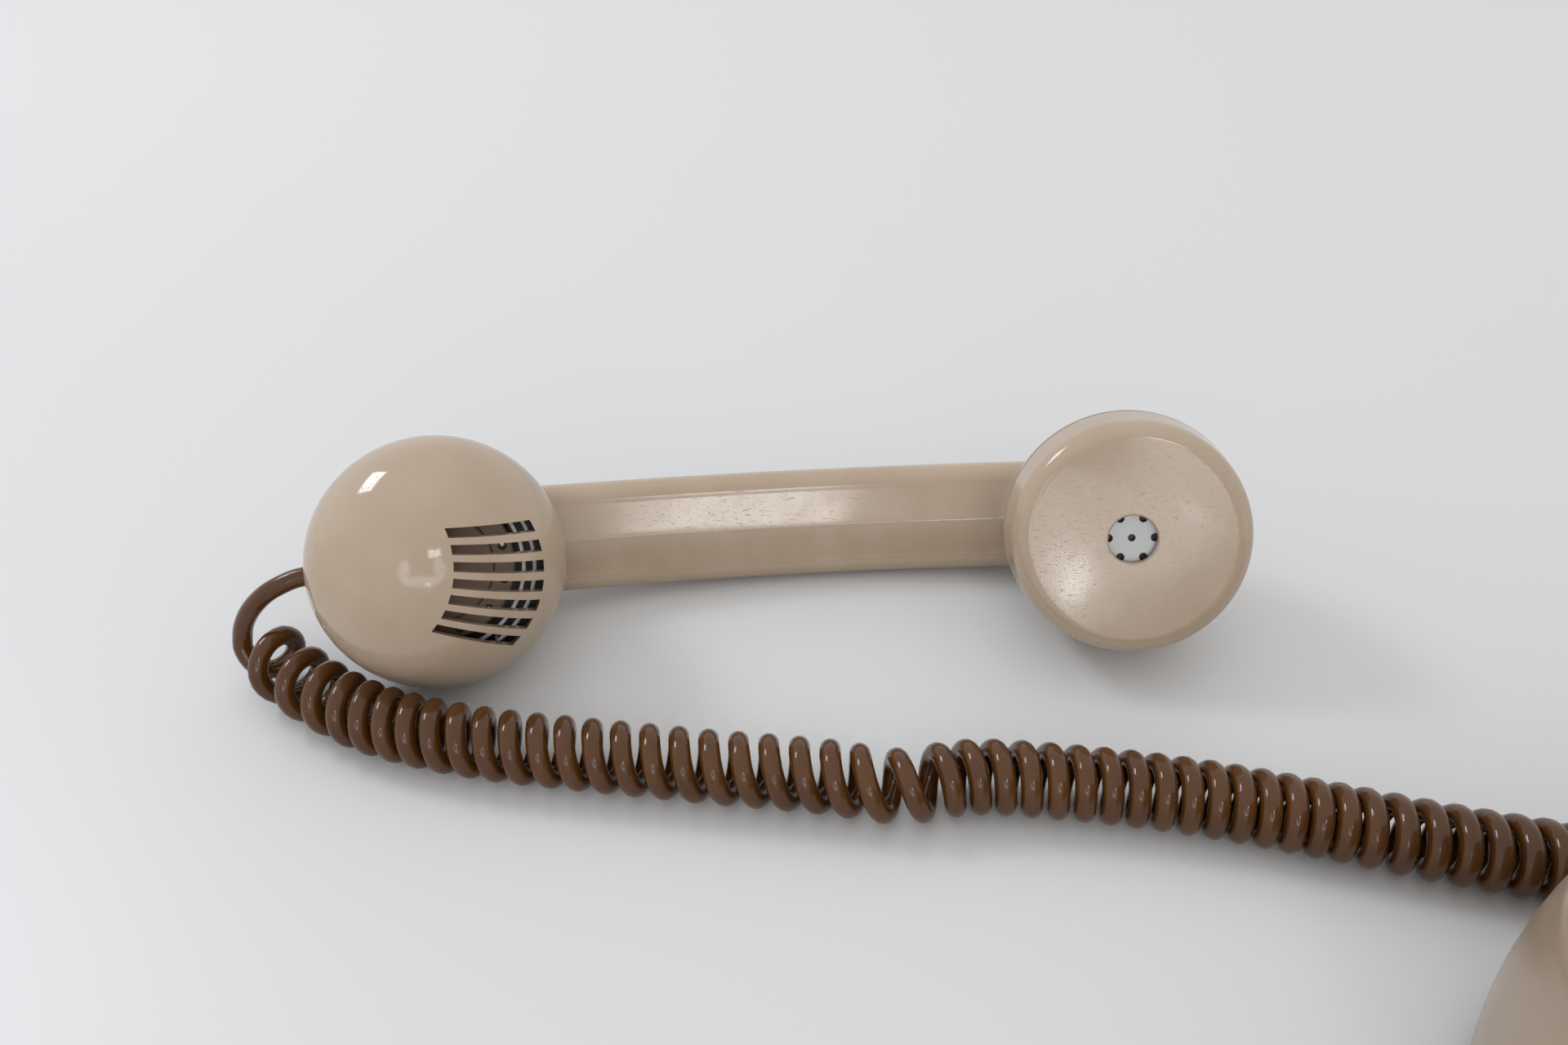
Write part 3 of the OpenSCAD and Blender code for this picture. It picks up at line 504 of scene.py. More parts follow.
def turn_places(middle, along):
    """The turns as (number, millimetres along the middle line), worked out from where their tops are seen."""
    ahead = np.gradient(middle, axis=0)
    ahead /= np.linalg.norm(ahead, axis=1)[:, None]
    flat = np.zeros(len(middle))
    side = np.column_stack([ahead[:, 1], -ahead[:, 0], flat])
    centre = np.column_stack([middle, flat + COIL_D / 2])
    angles = np.radians(np.arange(0, 360, TOP_SEARCH))[:, None, None]
    rings = centre + COIL_D / 2 * (np.cos(angles) * side + np.sin(angles) * np.array([0, 0, 1]))
    across, down = seen_at(rings)
    tops = across[down.argmin(axis=0), np.arange(len(middle))]
    numbers, pixels = zip(*TURN_TOPS)
    places = np.round(np.interp(pixels, np.maximum.accumulate(tops), along), 1)
    return [FIRST_TURN, *zip(numbers, places), LAST_TURN]


def curly_route():
    """The helix along the curly part's middle line, a little wider at its start."""
    middle = spline(COIL, MIDDLE_STEP)
    along = distances(middle)
    first, last = FIRST_TURN[0], LAST_TURN[0]
    phase = np.linspace(first, last, int((last - first) * TURN_POINTS))
    s = np.interp(phase, *zip(*turn_places(middle, along)))
    window = np.ones(TURN_POINTS // 2) / (TURN_POINTS // 2)
    padded = np.pad(s, len(window), mode="reflect", reflect_type="odd")
    s = np.convolve(padded, window, "same")[len(window) : -len(window)]
    start_way = (middle[1] - middle[0]) / along[1]
    end_way = (middle[-1] - middle[-2]) / (along[-1] - along[-2])

    def on_line(d):
        """Points of the middle line, which runs straight on past its ends."""
        before, past = np.minimum(d, 0), np.maximum(d - along[-1], 0)
        return np.stack([
            np.interp(d, along, middle[:, k]) + before * start_way[k] + past * end_way[k] for k in range(2)
        ], axis=1)

    ahead = on_line(s + SMOOTH_MM / 2) - on_line(s - SMOOTH_MM / 2)
    ahead /= np.linalg.norm(ahead, axis=1)[:, None]
    side = np.stack([ahead[:, 1], -ahead[:, 0]], axis=1)
    turned = np.maximum(phase, 0)
    coil_r = (COIL_D - WIRE_D) / 2 + FIRST_SWELL * np.exp(-turned / SWELL_FADES)
    top = TOP_ANGLE + TOP_DRIFT * np.clip(turned / DRIFT_TURNS, 0, 1)
    angle = np.radians(top - 360 * phase)
    lean, shear, shift = (np.interp(phase, *zip(*knots)) for knots in (LEANS, SHEARS, SHIFTS))
    at = on_line(s + lean * (1 - np.sin(angle)) / 2 + shear * np.cos(angle)) - shift[:, None] * side
    height = WIRE_D / 2 + coil_r * (1 + np.sin(angle))
    return np.column_stack([at + (coil_r * np.cos(angle))[:, None] * side, height])


def sweep(name, path, radius):
    """A closed tube of that radius along a path."""
    ahead = np.gradient(path, axis=0)
    ahead /= np.linalg.norm(ahead, axis=1)[:, None]
    side = np.cross(ahead[0], [0, 0, 1.0])
    angles = 2 * math.pi * np.arange(TUBE_SIDES) / TUBE_SIDES
    rings = []
    for p, t in zip(path, ahead):
        side = side - (side @ t) * t
        side /= np.linalg.norm(side)
        up = np.cross(t, side)
        rings.append(p + radius * (np.cos(angles)[:, None] * side + np.sin(angles)[:, None] * up))
    return loft(name, rings, None)


def relax(path, first, last, passes):
    """Takes the kinks out of one stretch of a path, least at the stretch's two ends."""
    weight = np.sin(np.linspace(0, math.pi, last - first))[:, None] / 4
    for _ in range(passes):
        before, here, after = path[first - 1 : last - 1], path[first:last], path[first + 1 : last + 1]
        path[first:last] += weight * (before + after - 2 * here)


def make_cord():
    helix = curly_route()
    tail = spline([*TAIL, tuple(helix[HELIX_FROM])], TAIL_STEP)[:-1]
    lead = spline([tuple(helix[-1]), *LEAD], LEAD_STEP)[1:]
    path = np.vstack([tail, helix[HELIX_FROM:], lead])
    lead_from = len(path) - len(lead)
    relax(path, *TAIL_RELAX)
    relax(path, lead_from + LEAD_RELAX[0], lead_from + LEAD_RELAX[1], LEAD_RELAX[2])
    cord = sweep("handset_cord", path, WIRE_D / 2)
    cord.data.materials.append(MATS["cord"])
    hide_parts("cord_tail_handset", "cord_coil", "cord_tail_base")
    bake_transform(cord)


make_cord()

# ---------------------------------------------------------------- handset: mouthpiece dome
SLOT_NUMBERS, SLOT_FAN, SLOT_STEP, SLOT_OPEN, SLOT_POINTS = range(-3, 4), 70.7, 2.91, 1.73, 7
SLOT_OUTER, SLOT_INNER, SLOT_INNER_AT = 24.7, 23.3, -19.4
SLOT_Z = (1.0, DOME_H + 3)
RIM_CHAMFER = 0.28


def ellipse(r, h, n, start=0.0):
    """Quarter of an ellipse, from the rim up to the axis."""
    angles = np.radians(np.linspace(start, 90, n + 1))
    return [(r * math.cos(a), h * math.sin(a)) for a in angles[:-1]] + [(0, h)]


def ray_to_circle(origin_x, angle, centre_x, r):
    """Distance from a point on X, along a ray, to the far side of a circle round another point on X."""
    c, offset = math.cos(angle), origin_x - centre_x
    return -offset * c + math.sqrt(offset * offset * c * c - offset * offset + r * r)


def slot_cutter(number):
    """One of the sound slots, as a tall block whose two ends follow arcs."""
    half = math.radians(SLOT_OPEN / 2)
    middle = math.radians(number * SLOT_STEP)
    inner, outer = [], []
    for a in np.linspace(middle - half, middle + half, SLOT_POINTS):
        for out, centre, r in ((inner, SLOT_INNER_AT, SLOT_INNER), (outer, 0.0, SLOT_OUTER)):
            d = ray_to_circle(-SLOT_FAN, a, centre, r)
            out.append((d * math.cos(a) - SLOT_FAN, d * math.sin(a)))
    outline = inner + outer[::-1]
    return loft("slot", [[(x, y, z) for x, y in outline] for z in SLOT_Z], AT_MOUTH)


def make_dome():
    """The dome as one closed shell: outer surface, rim and inner surface."""
    outer = ellipse(BALL_R, DOME_H, 56, math.degrees(RIM_CHAMFER / DOME_H))[::-1]
    inner = ellipse(BALL_R - SHELL, DOME_H - SHELL, 40)
    dome = lathe("mouth_dome_skin", [*outer, (BALL_R - RIM_CHAMFER, 0), *inner], AT_MOUTH, 176)
    cut(dome, *[slot_cutter(k) for k in SLOT_NUMBERS])
    piece(sharpen(dome), "handset", "beige", "mouth_dome")


make_dome()

# ---------------------------------------------------------------- handset: microphone behind the slots
MIC_R, MIC_ROUND, MIC_BACK, MIC_RIM_Z = 18.5, 0.8, -1, 6
MIC_FACE_R, MIC_FACE_Z = 13.5, 7.2
MIC_HOLE_R, MIC_HOLE_RING, MIC_HOLE_ANGLES, MIC_HOLE_Z = 1.15, 16.0, range(-4, 350, 30), 3.6
# a rivet in each hole, as (radius, height)
RIVET = [(0, 3.5), (0.75, 3.5), (0.75, 4.6), (0.5, 5.0), (0, 5.1)]
CLIP_RINGS, CLIP_Z, CLIP_WIRE_R, CLIP_LEG_R, CLIP_LEG_ANGLES = (20.2, 22.8), 8.5, 0.5, 0.4, (45, 135, 225, 315)


def make_microphone():
    profile = [(0, MIC_BACK), (MIC_R, MIC_BACK)]
    profile += arc((MIC_R - MIC_ROUND, MIC_RIM_Z - MIC_ROUND), MIC_ROUND, 0, 90, 6)
    profile += [(MIC_FACE_R, MIC_RIM_Z), (MIC_FACE_R - 0.4, MIC_FACE_Z - 0.3)]
    profile += [(MIC_FACE_R - 0.9, MIC_FACE_Z), (0, MIC_FACE_Z)]
    capsule = lathe("microphone_capsule", profile, AT_MOUTH, 96)
    holes = on_circle(MIC_HOLE_RING, MIC_HOLE_ANGLES)
    for spot in holes:
        cut(capsule, rod(AT_MOUTH, MIC_HOLE_R, MIC_HOLE_Z, MIC_FACE_Z + 0.8, spot, 24))
    piece(sharpen(capsule), "handset", "dark", "mic_capsule", material="capsule")
    rivets = [lathe("rivet", RIVET, within(AT_MOUTH, None, (*spot, 0)), 20) for spot in holes]
    piece(sharpen(fuse("microphone_rivets", rivets)), "handset", "steel")
    rings, legs = [], []
    for r in CLIP_RINGS:
        wire = arc((r, CLIP_Z), CLIP_WIRE_R, 0, 330, 11)
        rings.append(lathe("ring", wire, AT_MOUTH, 160, ring=True))
        for spot in on_circle(r, CLIP_LEG_ANGLES):
            legs.append(rod(AT_MOUTH, CLIP_LEG_R, MIC_BACK, CLIP_Z, spot, 12))
    # the rings take the matt white wire finish, a painted glint
    piece(fuse("microphone_clip_rings", rings + legs), "handset", "steel", "mic_clip", material="wire")


make_microphone()

# ---------------------------------------------------------------- handset: ear cap and its disc
NECK_R = CUP_R - SHELL - 0.2
EAR_FILLET, EAR_SIDE_IN, CAP_GAP, CAP_WALL = 4.5, 1.2, 0.3, 2.2
# the cap's lower edge as (in from the cup's radius, up from the gap), and rings on its face
CAP_EDGE, CAP_FACE_RINGS = [(0.5, 0.0), (0.1, 0.4)], (20, 14, 9)
SOUND_ROUND = 0.45
# inside the cap: the room over the receiver, the ledge on the neck's top and the bore round the neck
CAP_ROOM_R, CAP_ROOM_ROUND, CAP_LEDGE_Z, CAP_BORE = NECK_R - 1, 1.5, 7.6, NECK_R + 0.07
DISC_R, DISC_Z, DISC_T = NECK_R - 2.8, 11.8, 0.8
DISC_MIDDLE_R, DISC_HOLE_R, DISC_HOLE_RING, DISC_HOLE_ANGLES = 0.9, 1.0, SOUND_R - 0.4, range(0, 360, 60)


def make_ear_cap():
    inner = CAP_FACE_H - CAP_WALL
    corner = (CUP_R - EAR_SIDE_IN - EAR_FILLET, CAP_FACE_H - EAR_FILLET)
    profile = [(CUP_R - inwards, CAP_GAP + up) for inwards, up in CAP_EDGE]
    profile += arc(corner, EAR_FILLET, 0, 90, 20)
    profile += [(r, CAP_FACE_H) for r in CAP_FACE_RINGS]
    profile += arc((SOUND_R + SOUND_ROUND, CAP_FACE_H - SOUND_ROUND), SOUND_ROUND, 90, 180, 5)
    profile += [(SOUND_R, inner), (CAP_ROOM_R - CAP_ROOM_ROUND, inner)]
    profile += [(CAP_ROOM_R, inner - CAP_ROOM_ROUND), (CAP_ROOM_R, CAP_LEDGE_Z)]
    profile += [(CAP_BORE, CAP_LEDGE_Z), (CAP_BORE, CAP_GAP)]
    cap = lathe("ear_cap_skin", profile, AT_EAR, 192, ring=True)
    piece(sharpen(cap), "ear_piece", "beige", "ear_cap")
    disc = rod(AT_EAR, DISC_R, DISC_Z, DISC_Z + DISC_T, steps=96, name="ear_disc_plate")
    cut(disc, rod(AT_EAR, DISC_MIDDLE_R, DISC_Z - 1, DISC_Z + 2))
    for spot in on_circle(DISC_HOLE_RING, DISC_HOLE_ANGLES):
        cut(disc, rod(AT_EAR, DISC_HOLE_R, DISC_Z - 1, DISC_Z + 2, spot))
    piece(sharpen(disc), "handset", "disc", "ear_disc")


make_ear_cap()

# ---------------------------------------------------------------- handset: body
HANDLE_W, HANDLE_T, ARCH_R, ARCH_X, RIDGE_DEPTH = 28.6, 17.0, 336.0, 93.0, 27.0
ARCH_Z = ARCH_R - RIDGE_DEPTH
FACET_FALL, FRONT_CORNER, BACK_CORNER = 1.5, 5.0, 10.0
FACET_WIDTHS, RIDGE_ROUND, FACET_EDGE = (0.45, 2.4, 4.6, 6.8), 0.05, 0.6
HANDLE_STEP, HANDLE_FROM, HANDLE_TO = 0.8, 1, EAR_AT[0] + 14
HOLLOW_FROM, HOLLOW_TO = 12, EAR_AT[0] - 6
# the handle's far end is limited to a ball, and to this range everywhere else
END_ROUND_X, END_ROUND_Z = EAR_AT[0] - 21, 2.0
END_ROUND = HANDLE_T + RIDGE_DEPTH - 2.3
HANDLE_LOW, HANDLE_HIGH = (-30, -HANDLE_W, -80), (END_ROUND_X, HANDLE_W, 20)
CORD_ENTRY, CORD_PLAY = (-1.7, -0.9), 0.05
# where the handle runs into the ball and the bowl
EAR_FLARE, BALL_FLARE = 7.3, 2.6
SWELL_STEP, SWELL_REACH = 0.1, 1.3
# the swell fades over this range of how straight a side faces away from the ball
FADE_END, FADE_LENGTH = 0.9, 0.4
LIP_R, CUP_IN, NECK_IN = BALL_R - SHELL, CUP_R - SHELL, NECK_R - 2.3
# rings inside the shells as (outer radius, inner radius, bottom, top): the dome's seat and lip, and the
# neck's foot, the neck itself and the receiver's shelf
BALL_RINGS = [(LIP_R + 1, LIP_R - 1.6, -3, -0.02), (LIP_R - 0.6, LIP_R - 1.6, -1, 3)]
EAR_RINGS = [(CUP_IN + 1, NECK_IN, -4, -0.02), (NECK_R, NECK_IN, -1, 7), (NECK_R - 2, 14, -1.5, 0.5)]


def handle_section(inset):
    """Outline across the handle as (distance from the arch's middle, width), all round."""
    r0, r1 = ARCH_R + inset, ARCH_R + HANDLE_T - inset
    half, back = HANDLE_W / 2 - inset, BACK_CORNER - inset
    facet_end = half - FRONT_CORNER
    facet = [(r0 + RIDGE_ROUND, 0.0)]
    for w in (*FACET_WIDTHS, facet_end - FACET_EDGE):
        facet.append((r0 + FACET_FALL * w / facet_end, w))
    front = arc((r0 + FACET_FALL + FRONT_CORNER, half - FRONT_CORNER), FRONT_CORNER, 180, 90, 12)
    behind = arc((r1 - back, half - back), back, 90, 0, 14)
    flat = [(r1, w) for w in (half - back - 1, (half - back) / 2)]
    upper = facet + front + behind + flat
    lower = [(d, -w) for d, w in upper[:0:-1]]
    return np.array([*upper, (r1, 0.0), *lower])


def swell(points, normals, centre, radius, flare):
    """How far each point moves out so that the surface runs into a ball in a hollow curve."""
    steps = np.arange(0, SWELL_REACH * flare, SWELL_STEP)
    moved = np.full(len(points), steps[-1])
    settled = np.zeros(len(points), bool)
    last = None
    for t in steps:
        gap = np.linalg.norm(points + t * normals - centre, axis=1) - radius
        reach = np.hypot(max(flare - t, 0), np.maximum(flare - gap, 0))
        value = np.maximum(flare, np.minimum(t, gap)) - reach
        new = (value >= -1e-9) & ~settled
        if last is None:
            moved[new] = 0
        else:
            share = -last[new] / np.maximum(value[new] - last[new], 1e-9)
            moved[new] = t - SWELL_STEP + SWELL_STEP * np.clip(share, 0, 1)
        settled |= new
        last = value
    outward = np.sum(normals * (points - centre), axis=1) / np.linalg.norm(points - centre, axis=1)
    keep = np.clip((FADE_END - outward) / FADE_LENGTH, 0, 1)
    return moved * keep * keep * (3 - 2 * keep)


def handle_bar(name, inset, x0, x1, flares=False):
    """The arched handle from x0 to x1, moved inwards by inset; flares run it into the ball and the bowl."""
    section = handle_section(inset)
    along = np.roll(section, -1, axis=0) - np.roll(section, 1, axis=0)
    out = np.stack([along[:, 1], -along[:, 0]], axis=1)
    out /= -np.linalg.norm(out, axis=1)[:, None]
    a0, a1 = (math.asin((x - ARCH_X) / ARCH_R) for x in (x0, x1))
    rings = []
    for a in np.linspace(a0, a1, int((x1 - x0) / HANDLE_STEP)):
        x, z = math.sin(a), -math.cos(a)
        ring = np.stack([ARCH_X + section[:, 0] * x, section[:, 1], ARCH_Z + section[:, 0] * z], axis=1)
        if flares:
            normal = np.stack([out[:, 0] * x, out[:, 1], out[:, 0] * z], axis=1)
            shift = swell(ring, normal, EAR_AT, CUP_R, EAR_FLARE)
            shift = np.maximum(shift, swell(ring, normal, np.zeros(3), BALL_R, BALL_FLARE))
            ring = ring + shift[:, None] * normal
        rings.append(ring)
    return loft(name, rings, AT_HANDSET)


def half_ball(name, r, place, chamfer=0.0):
    """The lower half of a ball, closed by a flat top."""
    lower = arc((0, 0), r, -90, math.degrees(-chamfer / r), 39)[1:]
    rim = [(r - chamfer, 0)] if chamfer else []
    return lathe(name, [(0, -r), *lower, *rim, (0, 0)], place, 160)


def whole_ball(name, r, place, steps=112):
    return lathe(name, [(0, -r), *arc((0, 0), r, -90, 90, 56)[1:-1], (0, r)], place, steps)


def make_body():
    body = handle_bar("handset_skin", 0, HANDLE_FROM, HANDLE_TO, flares=True)
    limits = block(HANDLE_LOW, HANDLE_HIGH, AT_HANDSET)
    end = whole_ball("end", END_ROUND, within(AT_HANDSET, None, (END_ROUND_X, 0, END_ROUND_Z)), 160)
    combine(body, join(limits, end), "INTERSECT")
    join(body, half_ball("ball", BALL_R, AT_BALL, RIM_CHAMFER))
    join(body, half_ball("bowl", CUP_R, AT_EAR))
    cut(body, whole_ball("hollow", LIP_R, AT_BALL), whole_ball("hollow", CUP_IN, AT_EAR))
    cut(body, handle_bar("hollow", SHELL, HOLLOW_FROM, HOLLOW_TO))
    for rings, place in ((BALL_RINGS, AT_BALL), (EAR_RINGS, AT_EAR)):
        for ring in rings:
            join(body, ring_tube(*ring, place))
    entry = within(AT_HANDSET, turn("Y", -90), (0, *CORD_ENTRY))
    cut(body, rod(entry, WIRE_D / 2 + CORD_PLAY, BALL_R / 2, BALL_R * 1.5))
    piece(sharpen(body), "handset", "beige", "handset_body")


make_body()

# ---------------------------------------------------------------- base housing
BASE_HALF, SKIRT_CORNER, BELLY_Z, BELLY_R = 93.0, 48.0, 24.0, 150.0
SHOULDER_Z, SHOULDER_R, DECK_Z, RIM_Z, WALL = 48.0, 13.0, 104.0, 3.5, 3.0
NECK_HALF_X, NECK_HALF_Y, NECK_CORNER, DECK_ROUND = 52.0, 33.0, 18.0, 2.0
RIM_BEVEL, RIM_SHRINK = 0.5, 0.9955
TURRET_R, TURRET_DEPTH, TURRET_CHAMFER, FLOOR_Z = 43.0, 34.0, 0.4, 7.0
CORNER_STEPS = 24
BOSS_SPOTS, BOSS_R, BOSS_TOP = [(x, y) for x in (-56, 56) for y in (-56, 56)], 5, 67
SCREW_R, SCREW_TOP = 1.2, FLOOR_Z + 19
PLUNGER_XS, PLUNGER_BORE = (-38, 38), 4
# the holes in the back for the cord's gland and the line's inlet
BACK_XS, BACK_Z, BACK_BORE, BACK_DEPTH = (10, 38.5), 14, 4, 12
# the volume wheel's slot in the right side
VOLUME_LOW, VOLUME_HIGH = (BASE_HALF - 12, -18, 14), (BASE_HALF + 8, 18, 20)


def bulge(z):
    """How far the skirt's side lies inside its widest line at a height."""
    return BELLY_R - math.sqrt(BELLY_R**2 - (z - BELLY_Z) ** 2)


def housing_rows():
    """The outline as (height, inset of the side, share of the way to the neck)."""
    rows = [(z, bulge(z), 0.0) for z in np.linspace(RIM_Z, SHOULDER_Z, 18)]
    edge = bulge(SHOULDER_Z)
    for a in np.radians(np.linspace(0, 90, 13))[1:]:
        rows.append((SHOULDER_Z + SHOULDER_R * math.sin(a), edge + SHOULDER_R * (1 - math.cos(a)), 0.0))
    top = SHOULDER_Z + SHOULDER_R
    for a in np.radians(np.linspace(0, 90, 31))[1:]:
        rows.append((top + (DECK_Z - top) * (1 - math.cos(a)), edge + SHOULDER_R, math.sin(a)))
    return rows


def rounded_ring(hx, hy, r, z):
    """A rectangle's outline with round corners, at a height."""
    ring = []
    for k, (sx, sy) in enumerate(((1, 1), (-1, 1), (-1, -1), (1, -1))):
        corner = arc((sx * (hx - r), sy * (hy - r)), r, 90 * k, 90 * k + 90, CORNER_STEPS)
        ring += [(x, y, z) for x, y in corner]
    return ring


def housing_layer(name, inset, drop=0.0, round_top=0.0):
    """The housing's outline moved inwards; drop lengthens it downwards, round_top softens both its edges."""
    rings = []
    for z, side_in, share in housing_rows():
        z_in = z - inset * (z - RIM_Z) / (DECK_Z - RIM_Z)
        if round_top and z_in > DECK_Z - round_top - 0.01:
            continue
        half_x = (BASE_HALF - side_in) * (1 - share) + NECK_HALF_X * share - inset
        half_y = (BASE_HALF - side_in) * (1 - share) + NECK_HALF_Y * share - inset
        corner = (SKIRT_CORNER - side_in / 2) * (1 - share) + NECK_CORNER * share - inset
        if drop and not rings:
            rings.append(rounded_ring(half_x, half_y, corner, z_in - drop))
        rings.append(rounded_ring(half_x, half_y, corner, z_in))
    if round_top:
        for a in np.radians(np.linspace(0, 90, 8)):
            back = round_top * (1 - math.cos(a))
            z = DECK_Z - round_top + round_top * math.sin(a)
            rings.append(rounded_ring(NECK_HALF_X - back, NECK_HALF_Y - back, NECK_CORNER - back, z))
        lowest = np.array(rings[0])
        rings[0] = lowest + [0, 0, RIM_BEVEL]
        rings.insert(0, lowest * [RIM_SHRINK, RIM_SHRINK, 1])
    return loft(name, rings, AT_BASE)


def make_housing():
    housing = housing_layer("base_housing_skin", 0, round_top=DECK_ROUND)
    turret = [(0, -TURRET_DEPTH), (TURRET_R, -TURRET_DEPTH), (TURRET_R, -TURRET_CHAMFER)]
    turret += [(TURRET_R - TURRET_CHAMFER, 0), (0, 0)]
    join(housing, lathe("turret", turret, AT_DIAL, 192))
    cut(housing, housing_layer("hollow", WALL, drop=1))
    bosses = fuse("bosses", [rod(AT_BASE, BOSS_R, FLOOR_Z, BOSS_TOP, spot) for spot in BOSS_SPOTS])
    join(housing, combine(bosses, housing_layer("limit", WALL / 2), "INTERSECT"))
    cut(housing, rod(AT_DIAL, TURRET_R - WALL, -TURRET_DEPTH - 1, 1, steps=160))
    for spot in BOSS_SPOTS:
        cut(housing, rod(AT_BASE, SCREW_R, FLOOR_Z - 1, SCREW_TOP, spot, 24))
    for x in PLUNGER_XS:
        cut(housing, rod(AT_BASE, PLUNGER_BORE, DECK_Z - 2 * WALL, DECK_Z + WALL, (x, 0)))
    for x in BACK_XS:
        origin = (x, BASE_HALF - bulge(BACK_Z) - BACK_DEPTH, BACK_Z)
        back = within(AT_BASE, turn("X", -90), origin)
        cut(housing, rod(back, BACK_BORE, 0, BACK_DEPTH + 8))
    cut(housing, block(VOLUME_LOW, VOLUME_HIGH, AT_BASE))
    piece(sharpen(housing), "base", "beige", "base_housing", material="base_beige_painted_shade")


make_housing()

# ---------------------------------------------------------------- dial, with Z out of its face
WHEEL_Z, WHEEL_T, WHEEL_R, WHEEL_ROUND = 3.4, 1.8, 36.0, 0.45
FINGER_R, FINGER_RING, FINGER_ANGLES = 6.3, 27.5, range(35, 335, 30)
SHAFT_R, SHAFT_BORE = 2.5, 2.55
# the case: the ring on the turret with two rounded edges, the step under the wheel's rim and the cup behind
CASE_R, CASE_BACK, CASE_FLOOR, CASE_STEP = 39.7, -16, -14, -1
BEZEL_H, BEZEL_ROUND, BEZEL_LIP, BEZEL_R, CUP_WALL_R = 2.0, 1.0, 0.5, WHEEL_R + 1, WHEEL_R - 1
PINION_BORE, PINION_AT = 1.55, (25.2, 0)
# the cap: its edge, a groove as (in from the edge, above the wheel) and a crown as (radius, above the wheel)
CAP_R, CAP_ROUND, CAP_ROUND_Z = 13.0, 1.4, 0.8
CAP_GROOVE, CAP_CROWN = [(2.4, 2.2), (2.6, 1.95), (3.0, 1.95), (3.2, 2.3)], [(6, 2.5), (0, 2.6)]
PLATE_TOP, DIGIT_SIZE, DIGIT_T = 0.2, 6.0, 0.06
EDGE_POINTS, HOLE_POINTS = 192, 64
MERGE = 0.001


def holed_disc(name, radius, holes, z0, z1, rounding, place):
    """A round plate with round holes (x, y, radius) and rounded edges."""
    curve = bpy.data.curves.new(name, "CURVE")
    curve.dimensions, curve.fill_mode = "2D", "BOTH"
    curve.extrude = (z1 - z0) / 2 - rounding
    curve.bevel_depth, curve.bevel_resolution, curve.offset = rounding, 3, -rounding
    rounds = [(0, 0, radius, EDGE_POINTS)] + [(*hole, HOLE_POINTS) for hole in holes]
    for x, y, r, count in rounds:
        line = curve.splines.new("POLY")
        line.points.add(count - 1)
        line.use_cyclic_u = True
        for k, point in enumerate(line.points):
            a = 2 * math.pi * k / count
            point.co = (x + r * math.cos(a), y + r * math.sin(a), 0, 1)
    outline = add_object(name, curve)
    mesh = finished_mesh(outline)
    bpy.data.objects.remove(outline)
    turn_outwards(mesh, MERGE)
    verts = [tuple(v.co + Vector((0, 0, (z0 + z1) / 2))) for v in mesh.vertices]
    return new_object(name, verts, [tuple(f.vertices) for f in mesh.polygons], place)


def make_digit(number, spot):
    """A plain figure that stands on the number plate, round its middle."""
    curve = bpy.data.curves.new("digit", "FONT")
    curve.body = str(number)
    curve.size, curve.extrude = DIGIT_SIZE, DIGIT_T
    curve.align_x, curve.align_y = "CENTER", "CENTER"
    text = add_object("digit", curve)
    mesh = finished_mesh(text)
    bpy.data.objects.remove(text)
    points = np.array([v.co for v in mesh.vertices]) + np.array([*spot, PLATE_TOP + DIGIT_T])
    points = points @ AT_DIAL[0].T + AT_DIAL[1]
    mesh.vertices.foreach_set("co", (points * MM).ravel())
    return bpy.data.objects.new("digit", mesh)


def make_dial():
    bezel = [(SHAFT_BORE, CASE_BACK), (CASE_R, CASE_BACK), (CASE_R, 0), (TURRET_R, 0)]
    bezel += arc((TURRET_R - BEZEL_ROUND, BEZEL_H - BEZEL_ROUND), BEZEL_ROUND, 0, 90, 6)
    bezel += arc((BEZEL_R + BEZEL_LIP, BEZEL_H - BEZEL_LIP), BEZEL_LIP, 90, 180, 4)
    bezel += [(BEZEL_R, CASE_STEP), (CUP_WALL_R, CASE_STEP), (CUP_WALL_R, CASE_FLOOR), (SHAFT_BORE, CASE_FLOOR)]
    case = lathe("dial_case_ring", bezel, AT_DIAL, 192, ring=True)
    cut(case, rod(AT_DIAL, PINION_BORE, CASE_BACK - 1, CASE_FLOOR + 1, PINION_AT, 24))
    piece(sharpen(case), "base", "beige", "dial_case", material="base_beige_painted_shade")

    top = WHEEL_Z + WHEEL_T
    spots = on_circle(FINGER_RING, FINGER_ANGLES)
    holes = [(0, 0, SHAFT_R)] + [(*spot, FINGER_R) for spot in spots]
    wheel = holed_disc("finger_wheel_disc", WHEEL_R, holes, WHEEL_Z, top, WHEEL_ROUND, AT_DIAL)
    piece(sharpen(wheel), "dial", "brown", "finger_wheel")

    hub = [(0, top), (CAP_R, top), *arc((CAP_R - CAP_ROUND, top + CAP_ROUND_Z), CAP_ROUND, 0, 90, 8)]
    hub += [(CAP_R - inwards, top + up) for inwards, up in CAP_GROOVE]
    hub += [(r, top + up) for r, up in CAP_CROWN]
    piece(sharpen(lathe("dial_cap_button", hub, AT_DIAL, 128)), "dial", "brown", "dial_cap")

    numbers = fuse("dial_numbers", [make_digit((i + 1) % 10, spot) for i, spot in enumerate(spots)])
    numbers.data.shade_flat()
    piece(numbers, "base", "dark")


make_dial()

# softened edges on plain CAD nodes, by these widths
for node, width in (("cradle", 1.0), ("finger_stop", 0.4)):
    soften(node, width)


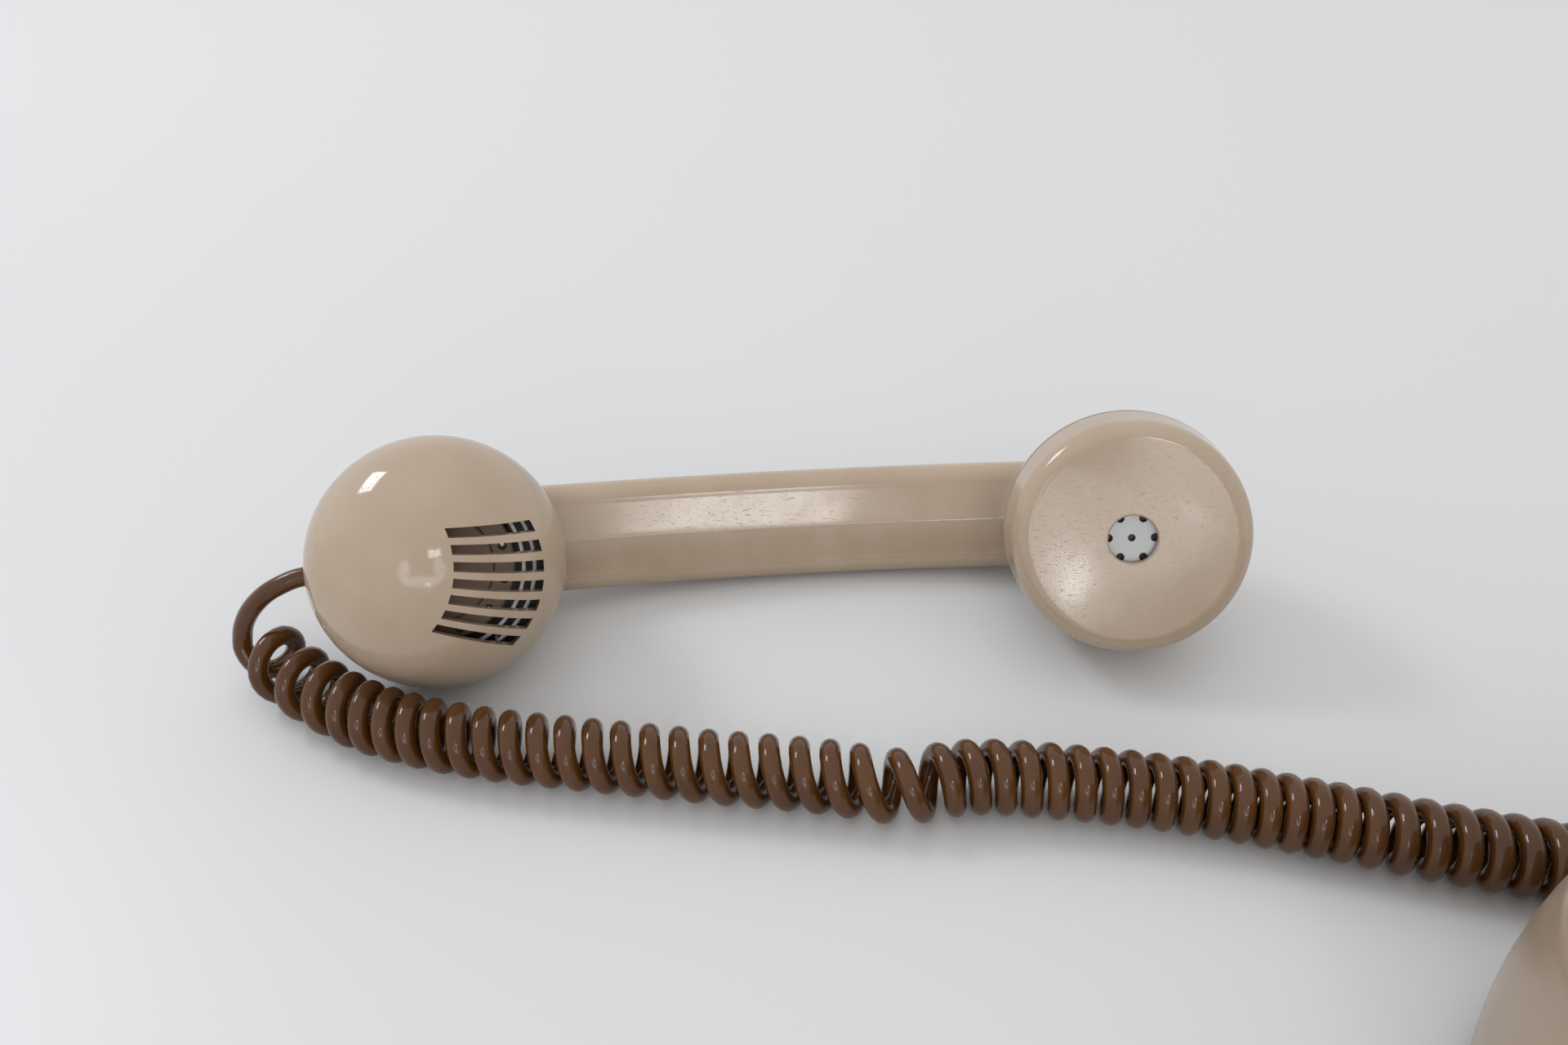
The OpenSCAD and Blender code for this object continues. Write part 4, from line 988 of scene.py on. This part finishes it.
# ---------------------------------------------------------------- stage
FLOOR_HALF = 9000
FLOOR_LOOK = {"Base_Color": (0.615, 0.617, 0.62, 1), "Roughness": 0.38, "Specular_IOR_Level": 0.3}
LIGHT_LEVEL, BACKDROP = 0.95, (0.68, 0.685, 0.69, 1)
WHITE, DAYLIGHT = (1, 1, 1), (0.86, 0.92, 1.0)
BALL_SPOT, EAR_SPOT = (-0.177, 0.122, 0.05), (-0.024, 0.111, 0.027)


def from_ball(off, rise):
    """A lamp's place a metre from the ball: degrees off the way to the camera's side, and elevation."""
    a, e = math.radians(off), math.radians(rise)
    return Vector(BALL_SPOT) + Vector((math.sin(a) * math.cos(e), -math.cos(a) * math.cos(e), math.sin(e)))


# lamps as (name, place, target, width and height in metres, watts, shape, colour)
LAMPS = [
    ("window", (-1.03, 0.61, 1.02), (-0.177, 0.122, 0.03), (0.42, 0.3), 5, "RECTANGLE", DAYLIGHT),
    ("far_window", (0.32, -1.78, 1.55), (-0.105, 0.152, 0.022), (0.36, 0.24), 2.4, "RECTANGLE", WHITE),
    ("glow0", from_ball(-11.0, 25.0), BALL_SPOT, (0.14, 0.3), 0.27, "ELLIPSE", WHITE),
    ("glow1", from_ball(2.5, 17.5), BALL_SPOT, (0.46, 0.14), 0.42, "ELLIPSE", WHITE),
    ("glow2", from_ball(16.5, 25.0), BALL_SPOT, (0.14, 0.28), 0.24, "ELLIPSE", WHITE),
    ("ear_glow", (-0.05, -1.042, 0.36), EAR_SPOT, (0.05, 0.085), 0.1, "ELLIPSE", WHITE),
]


def make_stage():
    corners = [(x * FLOOR_HALF, y * FLOOR_HALF, 0) for x, y in ((-1, -1), (1, -1), (1, 1), (-1, 1))]
    floor = new_object("floor", corners, [(0, 1, 2, 3)])
    g = Graph("white_table")
    g.set(**FLOOR_LOOK)
    floor.data.materials.append(g.mat)


def area_light(name, at, target, size, power, shape, colour):
    data = bpy.data.lights.new(name, "AREA")
    data.shape = shape
    data.size, data.size_y = size
    data.energy = power
    data.color = colour
    obj = add_object(name, data)
    obj.location = at
    obj.rotation_mode = "QUATERNION"
    obj.rotation_quaternion = (Vector(target) - Vector(at)).to_track_quat("-Z", "Y")


def make_light():
    world = bpy.data.worlds.new("studio")
    world.use_nodes = True
    nodes, links = world.node_tree.nodes, world.node_tree.links
    light, backdrop = nodes["Background"], nodes.new("ShaderNodeBackground")
    light.inputs["Color"].default_value = (*WHITE, 1)
    light.inputs["Strength"].default_value = LIGHT_LEVEL
    backdrop.inputs["Color"].default_value = BACKDROP
    mix = nodes.new("ShaderNodeMixShader")
    links.new(nodes.new("ShaderNodeLightPath").outputs["Is Camera Ray"], mix.inputs[0])
    links.new(light.outputs[0], mix.inputs[1])
    links.new(backdrop.outputs[0], mix.inputs[2])
    links.new(mix.outputs[0], nodes["World Output"].inputs["Surface"])
    bpy.context.scene.world = world
    for lamp in LAMPS:
        area_light(*lamp)
    bpy.context.scene.view_settings.view_transform = "Standard"


make_stage()
make_light()

bpy.context.view_layer.update()
